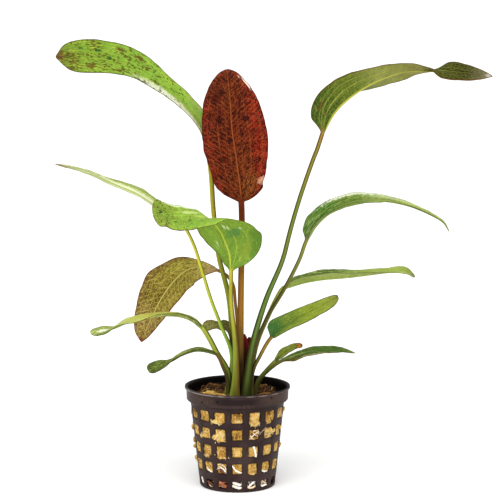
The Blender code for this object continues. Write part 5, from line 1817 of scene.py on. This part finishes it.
def wool_material() -> bpy.types.Material:
    """Matted wool: golden down the side, with painted shade in hollows and under the bars, and
    brown on top.
    """
    paint = Paint("mineral wool", Specular_IOR_Level=0.2)
    graph = paint.graph
    place = graph.solid_place()
    _, _, height = graph.split(place)
    matted = graph.noise(place, 420, 4, 0.65, 1.8)
    fine = graph.noise(graph.scaled(place, (1, 1, 2.4)), 1500, 3, 0.7, 2.5)
    clump = graph.noise(place, 130, 2, 0.5, 0.6)
    tone = matted * 0.5 + fine * 0.5 + (clump - 0.5) * 0.35
    # the shade attribute darkens the side: painted shade under the bars and in hollows
    side = graph.ramp(tone + graph.attribute("shade") * 0.5, (0.2, 0.02, 0.008, 0.003),
                      (0.34, 0.16, 0.065, 0.012), (0.44, 0.54, 0.29, 0.05), (0.55, 0.8, 0.48, 0.09),
                      (0.68, 0.9, 0.66, 0.22), (0.8, 0.95, 0.82, 0.44))
    top = graph.ramp(tone, (0.34, 0.008, 0.003, 0.001), (0.5, 0.05, 0.018, 0.004),
                     (0.62, 0.17, 0.07, 0.014), (0.78, 0.4, 0.2, 0.04))
    return paint.set(Base_Color=graph.blend(graph.rise(height / MM, 41.8, 43.2), side, top),
                     Roughness=graph.rise(fine, 0.3, 0.7, (0.98, 0.8)),
                     Normal=graph.bump(matted * 0.9 + fine * 0.5, 0.6, 1))


def fibre_material() -> bpy.types.Material:
    """Single fibres, each with a tone of its own."""
    paint = Paint("wool fibre", Specular_IOR_Level=0.35)
    graph = paint.graph
    streak = graph.noise(graph.solid_place(), 900)
    tone = graph.attribute("tone") + (streak * 0.24 - 0.12)
    colour = graph.ramp(tone, (0, 0.02, 0.008, 0.003), (0.2, 0.11, 0.038, 0.008),
                        (0.42, 0.4, 0.18, 0.028), (0.62, 0.76, 0.44, 0.075),
                        (0.82, 0.88, 0.62, 0.17), (1, 0.95, 0.83, 0.45))
    return paint.set(Base_Color=colour, Roughness=graph.rise(streak, 0.3, 0.7, (0.5, 0.75)))


# Roots --------------------------------------------------------------------------------------------


class RootKind(Enum):
    """The kinds of root, by the tone that each starts from."""

    WHITE = 0.86
    CREAM = 0.66
    RUST = 0.3
    BROWN = 0.12


@dataclass(frozen=True)
class RootRun:
    """A root seen through a window: its path as column, height and depth behind the wall's face."""

    path: tuple[Point, ...]
    radius: float
    kind: RootKind = RootKind.WHITE


WHITE, CREAM, RUST, BROWN = RootKind
SEEN_ROOTS = tuple(RootRun(*row) for row in (
    (((1.42, 29.6, 0.5), (1.22, 31.2, 0.3), (0.95, 31.4, 0.2), (0.98, 29.8, 0.2),
     (1.2, 28.6, 0.3), (1.28, 27.4, 0.6)), 0.17),
    (((0.72, 26.9, 0.6), (0.86, 28.4, 0.3), (1.02, 29.7, 0.2), (1.24, 30.3, 0.3),
     (1.32, 29.2, 0.6)), 0.2),
    (((0.74, 29.8, 0.7), (0.8, 28.6, 0.35), (0.9, 27.4, 0.35), (1.1, 26.9, 0.8)), 0.26, CREAM),
    (((1.28, 28.9, 0.4), (1.42, 30.4, -0.25), (1.6, 31.8, -0.35),
     (1.76, 32.9, -0.2)), 0.085, CREAM),
    (((0.98, 24, 1), (1.03, 22.8, 0.4), (1.12, 20.4, 0.25), (1.18, 18.3, 0.5),
     (1.2, 17.2, 1.2)), 0.52),
    (((-2.3, 12, 1), (-2.1, 10.8, 0.45), (-1.88, 10, 0.4), (-1.68, 9.3, 0.9)), 0.45),
    (((-1.38, 13.4, 0.8), (-1.1, 14.3, 0.25), (-0.85, 13.5, 0.15), (-0.72, 11.9, 0.2),
     (-0.86, 10.4, 0.5)), 0.2),
    (((-1.36, 12.2, 0.6), (-1.12, 13, 0.1), (-0.9, 12.3, 0.05), (-0.74, 10.6, 0.2),
     (-0.72, 9.4, 0.7)), 0.22),
    (((-1.4, 10.6, 0.5), (-1.26, 12, 0), (-1.02, 12.4, -0.1), (-0.84, 11.3, 0),
     (-0.8, 9.8, 0.4)), 0.16),
    (((-1.2, 11.5, 0.9), (-1.02, 11, 0.4), (-0.9, 10.4, 0.4), (-0.78, 9.8, 1)), 0.7, BROWN),
    (((-0.32, 14.4, 0.9), (-0.22, 12.8, 0.35), (-0.06, 11.3, 0.2), (0.14, 10.5, 0.25),
     (0.36, 10.1, 0.8)), 0.42),
    (((1.62, 11.2, 0.9), (1.84, 9.9, 0.4), (2.06, 9.7, 0.4), (2.3, 10.2, 0.9)), 0.42),
    (((-3.2, 7.4, 1), (-2.98, 5, 0.5), (-2.9, 3.2, 0.5), (-2.86, 1.7, 1.2)), 0.5),
    (((-2.3, 4.6, 1), (-2.1, 3.6, 0.5), (-1.9, 3.2, 0.5), (-1.7, 2, 1)), 0.75, BROWN),
    (((-2.24, 2.6, 1), (-2.12, 2.5, 0.5), (-2, 2, 0.5), (-1.9, 1.6, 1.2)), 0.28, CREAM),
    (((-1.3, 5.4, 1), (-1.1, 4.4, 0.6), (-0.95, 3.6, 0.5), (-0.7, 2.4, 1)), 0.9, RUST),
    (((-1.34, 2.6, 1), (-1.16, 3.2, 0.6), (-1, 4.4, 0.7), (-0.8, 5.4, 1)), 0.6, RUST),
    (((-0.42, 5.8, 1), (-0.2, 5, 0.45), (0.06, 4.2, 0.4), (0.34, 4, 1)), 0.62),
    (((-0.36, 3.7, 1), (-0.16, 3.1, 0.45), (0.08, 2.5, 0.45), (0.36, 2.3, 1)), 0.66),
    (((0.7, 2.2, 1), (0.86, 3.4, 0.45), (1.04, 4.6, 0.5), (1.2, 5.8, 1.1)), 0.5),
    (((0.66, 2.4, 1), (0.9, 2.2, 0.45), (1.12, 2.4, 0.5), (1.32, 2.9, 1)), 0.5, CREAM),
    (((1.66, 3, 1), (1.88, 2.3, 0.5), (2.1, 2.6, 0.5), (2.32, 2.2, 1)), 0.5),
    (((1.72, 5.6, 1), (1.92, 4.4, 0.55), (2.1, 3.6, 0.6), (2.3, 3.4, 1)), 0.34, CREAM)))


@dataclass(frozen=True)
class RootSize:
    """Sizes of the mat of roots and of the roots that wind round it."""

    bottom: float = 1.3
    top: float = 8.3
    clearance: float = 1.35
    round_steps: int = 240
    side_rings: int = 26
    steps: int = 26
    sides: int = 10
    ring_roots: int = 90
    riser_roots: int = 34
    tones: tuple[float, ...] = (0.95, 0.85, 0.7, 0.15, 0.3)
    odds: tuple[float, ...] = (0.34, 0.24, 0.2, 0.14, 0.08)


class Roots:
    """The mat at the pot's foot, with roots that wind through it and up the side of the wool."""

    SLOT = "roots"
    COLUMN_WIDTH = 8.2
    LOWEST, LOW_TURN, HIGHEST, RISER_TOP = 1.5, 1.9, 7.9, 41

    def __init__(self, size: RootSize, pot: PotSize) -> None:
        """Keeps the sizes of the mat and of the pot."""
        self.size = size
        self.pot = pot
        self.random = np.random.default_rng(23)

    def mat(self, material: bpy.types.Material) -> None:
        """The matted core between the wool and the pot's floor."""
        size = self.size
        low, high = size.bottom, size.top
        sides = np.linspace(low, high, size.side_rings)[1:-1]
        angle = tau * np.arange(size.round_steps + 1) / size.round_steps
        rings = []
        for share, height in ((0.02, low), (0.6, low), (0.93, low), *((1, side) for side in sides),
                              (0.93, high), (0.5, high), (0.02, high)):
            lumpy = lumps(np.cos(angle), np.sin(angle), height / 20, 0.16, 5)
            reach = self.pot.wall_radius(height) - size.clearance - 1.1 + 0.9 * lumpy
            rings.append(on_circle(share * reach, angle, height))
        piece = Bench.roll("root_mat_core", np.array(rings), {}, SMOOTH_ANGLE)
        enlist(piece, material, self.SLOT, "root_mat")

    def wall_point(self, column: float, height: float, depth: float) -> np.ndarray:
        """A point that deep behind the wall's outer face."""
        reach = self.pot.wall_radius(height) - depth
        return on_circle(reach, self.pot.column_angle(column), height)

    def seen_path(self, run: RootRun) -> np.ndarray:
        """The path of a root whose points are listed."""
        line = smooth_line([self.wall_point(*place) for place in run.path], 12)
        last = len(line) - 1
        return read_line(line, np.arange(last + 1), np.linspace(0, last, self.size.steps))

    def wound_root(self, rising: bool) -> tuple[np.ndarray, float, float]:
        """A root that winds round the mat, or up behind the wool's windows away from the front.

        Args:
            rising: Whether the root goes up behind the windows.

        Returns:
            Its path, its radius and its tone.
        """
        size, rng = self.size, self.random
        column, height = rng.uniform(-8, 8), rng.uniform(2.2, 7.4)
        if rising:
            column, height = rng.uniform(3.2, 12.8), rng.uniform(6, 36)
        heading, thick = rng.normal(0, 0.7) + pi * (rng.random() < 0.5), rng.uniform(0.2, 0.55)
        if rising:
            heading, thick = rng.uniform(0, tau), rng.uniform(0.14, 0.4)
        depth = rng.uniform(1.3, 2.3) + thick
        points = []
        for _ in range(size.steps):
            window = self.pot.in_window(self.pot.column_angle(column), height)
            points.append(self.wall_point(column, height, depth - 0.8 * rising * window))
            step = rng.uniform(0.35, 0.8)
            column += cos(heading) * step / self.COLUMN_WIDTH
            height += sin(heading) * step
            if not rising and not self.LOW_TURN + thick < height < self.HIGHEST - thick:
                heading = -heading
            ceiling = self.RISER_TOP if rising else self.HIGHEST - thick
            height = min(max(height, self.LOWEST + thick), ceiling)
            heading += rng.normal(0, 0.22)
        return np.array(points), thick, float(rng.choice(size.tones, p=size.odds))

    def runs(self, material: bpy.types.Material) -> None:
        """Every root, as one piece."""
        size = self.size
        roots = [(self.seen_path(run), run.radius, run.kind.value) for run in SEEN_ROOTS]
        roots += [self.wound_root(False) for _ in range(size.ring_roots)]
        roots += [self.wound_root(True) for _ in range(size.riser_roots)]
        paths, thick, tones = (np.array(values) for values in zip(*roots))
        share = np.linspace(0, 1, size.steps)
        swell = 1 + 0.14 * np.sin(share * 21 + np.arange(len(roots))[:, None])
        radii = thick[:, None] * swell * np.minimum(1, 9 * np.minimum(share, 1 - share))
        radii = np.where((share > 0) & (share < 1), radii, 0)
        piece = Strands.build("root_runs", paths, radii, tones, size.sides)
        enlist(piece, material, self.SLOT)


def root_material() -> bpy.types.Material:
    """Roots from white to red-brown, ringed and a little stained."""
    paint = Paint("root", Specular_IOR_Level=0.4)
    graph = paint.graph
    stain = graph.noise(graph.solid_place(), 380, 3, 0.6, 0.5)
    rings = graph.noise(graph.vector(graph.attribute("share") * 60, stain), 1, 1)
    tone = graph.attribute("tone") + (0.15 - stain * 0.5) + rings * 0.1
    colour = graph.ramp(tone, (0, 0.05, 0.014, 0.005), (0.2, 0.26, 0.06, 0.02),
                        (0.42, 0.55, 0.28, 0.1), (0.6, 0.78, 0.58, 0.36), (0.75, 0.86, 0.74, 0.6),
                        (0.9, 0.95, 0.91, 0.85))
    return paint.set(Base_Color=colour, Roughness=graph.rise(stain, 0.3, 0.7, (0.42, 0.62)),
                     Normal=graph.bump(rings + stain, 0.1, 0.6))


def mat_material() -> bpy.types.Material:
    """The dark core of the root mat: old roots and wet wool."""
    paint = Paint("root mat", Specular_IOR_Level=0.25)
    graph = paint.graph
    place = graph.solid_place()
    fine = graph.noise(place, 1800, 3, 0.6, 2)
    tone = graph.noise(place, 500, 4, 0.65, 2.2) * 0.6 + fine * 0.4
    colour = graph.ramp(tone, (0.34, 0.01, 0.005, 0.003), (0.48, 0.06, 0.02, 0.008),
                        (0.6, 0.24, 0.09, 0.03), (0.75, 0.5, 0.3, 0.11))
    return paint.set(Base_Color=colour, Roughness=graph.rise(fine, 0.3, 0.7, (0.9, 0.7)),
                     Normal=graph.bump(tone, 0.8, 1))


# Rootstock ----------------------------------------------------------------------------------------


@dataclass(frozen=True)
class StockSize:
    """Sizes of the rootstock in its socket."""

    centre: tuple[float, float] = (1.6, -0.4)
    bottom: float = 32.4
    top: float = 42.2
    radius: float = 7.9
    knob: float = 0.5


@dataclass
class Rootstock:
    """The short knobbly stock that the leaves stand on."""

    size: StockSize

    def build(self, material: bpy.types.Material) -> None:
        """Shapes the stock from a sphere."""
        size = self.size
        Bench.clear()
        bpy.ops.mesh.primitive_uv_sphere_add(segments=64, ring_count=40, radius=1,
                                             location=(0, 0, 0))
        piece = Bench.added("rootstock_body")
        x, y, z = Bench.places(piece).T
        level = np.sign(z) * np.abs(z) ** 0.7  # flatter at its foot and its top
        knobs = lumps(x, y, z, 0.35, 2) + 0.5 * lumps(x, y, z, 0.13, 6)
        reach = (size.radius - size.knob + size.knob * knobs) * (1 - np.abs(level) ** 4) ** 0.25
        middle, half = (size.top + size.bottom) / 2, (size.top - size.bottom) / 2
        heights = middle + level * (half - 0.3) + 0.25 * knobs
        spread = np.hypot(x, y) + 1e-9
        points = np.stack([reach * x / spread, reach * y / spread, heights], 1)
        Bench.place(piece, points + np.array([*size.centre, 0]))
        Bench.smooth(piece, SMOOTH_ANGLE)
        enlist(piece, material, "rootstock", "rootstock")


def stock_material() -> bpy.types.Material:
    """Brown-green flesh with old leaf scars."""
    paint = Paint("rootstock")
    graph = paint.graph
    scars = graph.noise(graph.scaled(graph.solid_place(), (1, 1, 5)), 160, 3, 0.6, 0.8)
    colour = graph.ramp(scars, (0.3, 0.05, 0.03, 0.012), (0.5, 0.16, 0.12, 0.035),
                        (0.7, 0.3, 0.27, 0.09))
    return paint.set(Base_Color=colour, Roughness=graph.rise(scars, 0.3, 0.7, (0.8, 0.55)),
                     Normal=graph.bump(scars, 0.4, 0.8))


# Studio -------------------------------------------------------------------------------------------


@dataclass(frozen=True)
class StudioSize:
    """Place of the camera and strength of the lights."""

    camera: Point = (0.00625, -0.95, 0.2467)
    camera_dip: float = 7.74  # degrees below level
    lens: float = 140.5
    sensor: float = 36
    clip: tuple[float, float] = (0.05, 200)
    floor_radius: float = 38
    sky: float = 0.74
    key: float = 1.35
    fill: float = 0.85
    top: float = 0.7
    softness: float = 50  # angular width of each sun in degrees


@dataclass
class Studio:
    """A white studio: soft light from the upper left, a pale floor and the photograph's camera."""

    size: StudioSize

    def floor(self) -> None:
        """A wide pale floor under the pot."""
        Bench.clear()
        bpy.ops.mesh.primitive_circle_add(vertices=96, radius=self.size.floor_radius,
                                          fill_type="NGON", location=(0, 0, 0))
        piece = Bench.added("studio_floor")
        paint = Paint("studio floor", Specular_IOR_Level=0.1)
        graph = paint.graph
        grain = graph.noise(graph.solid_place(), 14)
        colour = graph.ramp(grain, (0.3, 0.93, 0.93, 0.93), (0.7, 0.95, 0.95, 0.95))
        piece.data.materials.append(
            paint.set(Base_Color=colour, Roughness=graph.rise(grain, 0.3, 0.7, (0.85, 0.95))))

    def sun(self, name: str, strength: float, dip: float, turn: float) -> None:
        """A soft sun.

        Args:
            name: Name of the light.
            strength: Its strength.
            dip: Degrees from straight down.
            turn: Degrees round the upright, 0 for light that comes from the front.
        """
        Bench.clear()
        bpy.ops.object.light_add(type="SUN", location=(0, -1, 2),
                                 rotation=(radians(dip), 0, radians(turn)))
        light = bpy.context.object
        light.name = light.data.name = name
        light.data.energy = strength
        light.data.angle = radians(self.size.softness)

    def sky(self) -> None:
        """Even white light from all round."""
        world = bpy.data.worlds.new("studio sky")
        bpy.context.scene.world = world
        world.use_nodes = True
        shader = world.node_tree.nodes["Background"]
        shader.inputs["Color"].default_value = (1, 1, 1, 1)
        shader.inputs["Strength"].default_value = self.size.sky

    def camera(self) -> None:
        """The camera, a little above the plant's middle and looking down at it."""
        size = self.size
        Bench.clear()
        bpy.ops.object.camera_add(location=size.camera,
                                  rotation=(radians(90 - size.camera_dip), 0, 0))
        camera = bpy.context.object
        camera.data.lens = size.lens
        camera.data.sensor_width = size.sensor
        camera.data.clip_start, camera.data.clip_end = size.clip
        bpy.context.scene.camera = camera

    def build(self) -> None:
        """Sets the studio up."""
        self.floor()
        self.sky()
        self.sun("key", self.size.key, 50, -26)
        self.sun("fill", self.size.fill, 54, 30)
        self.sun("top", self.size.top, 26, 0)
        self.camera()
        bpy.context.scene.view_settings.view_transform = "Standard"


# Plant --------------------------------------------------------------------------------------------


def main() -> None:
    """Builds the plant in its pot and the studio round it."""
    logging.basicConfig(level=logging.INFO, format="%(name)s: %(message)s")
    effects = Effects()
    pot = PotSize()
    Pot(pot).build(plastic_material(pot))
    wool = Wool(WoolSize(), pot)
    fibre = fibre_material()
    wool.body(wool_material())
    wool.side_fibres(fibre)
    wool.top_fibres(fibre)
    roots = Roots(RootSize(), pot)
    roots.mat(mat_material())
    roots.runs(root_material())
    Rootstock(StockSize()).build(stock_material())
    for name, slot, shape, finish in LEAVES:
        Leaf(name, slot, shape, finish).build(effects)
    Studio(StudioSize()).build()


if __name__ == "__main__":
    main()
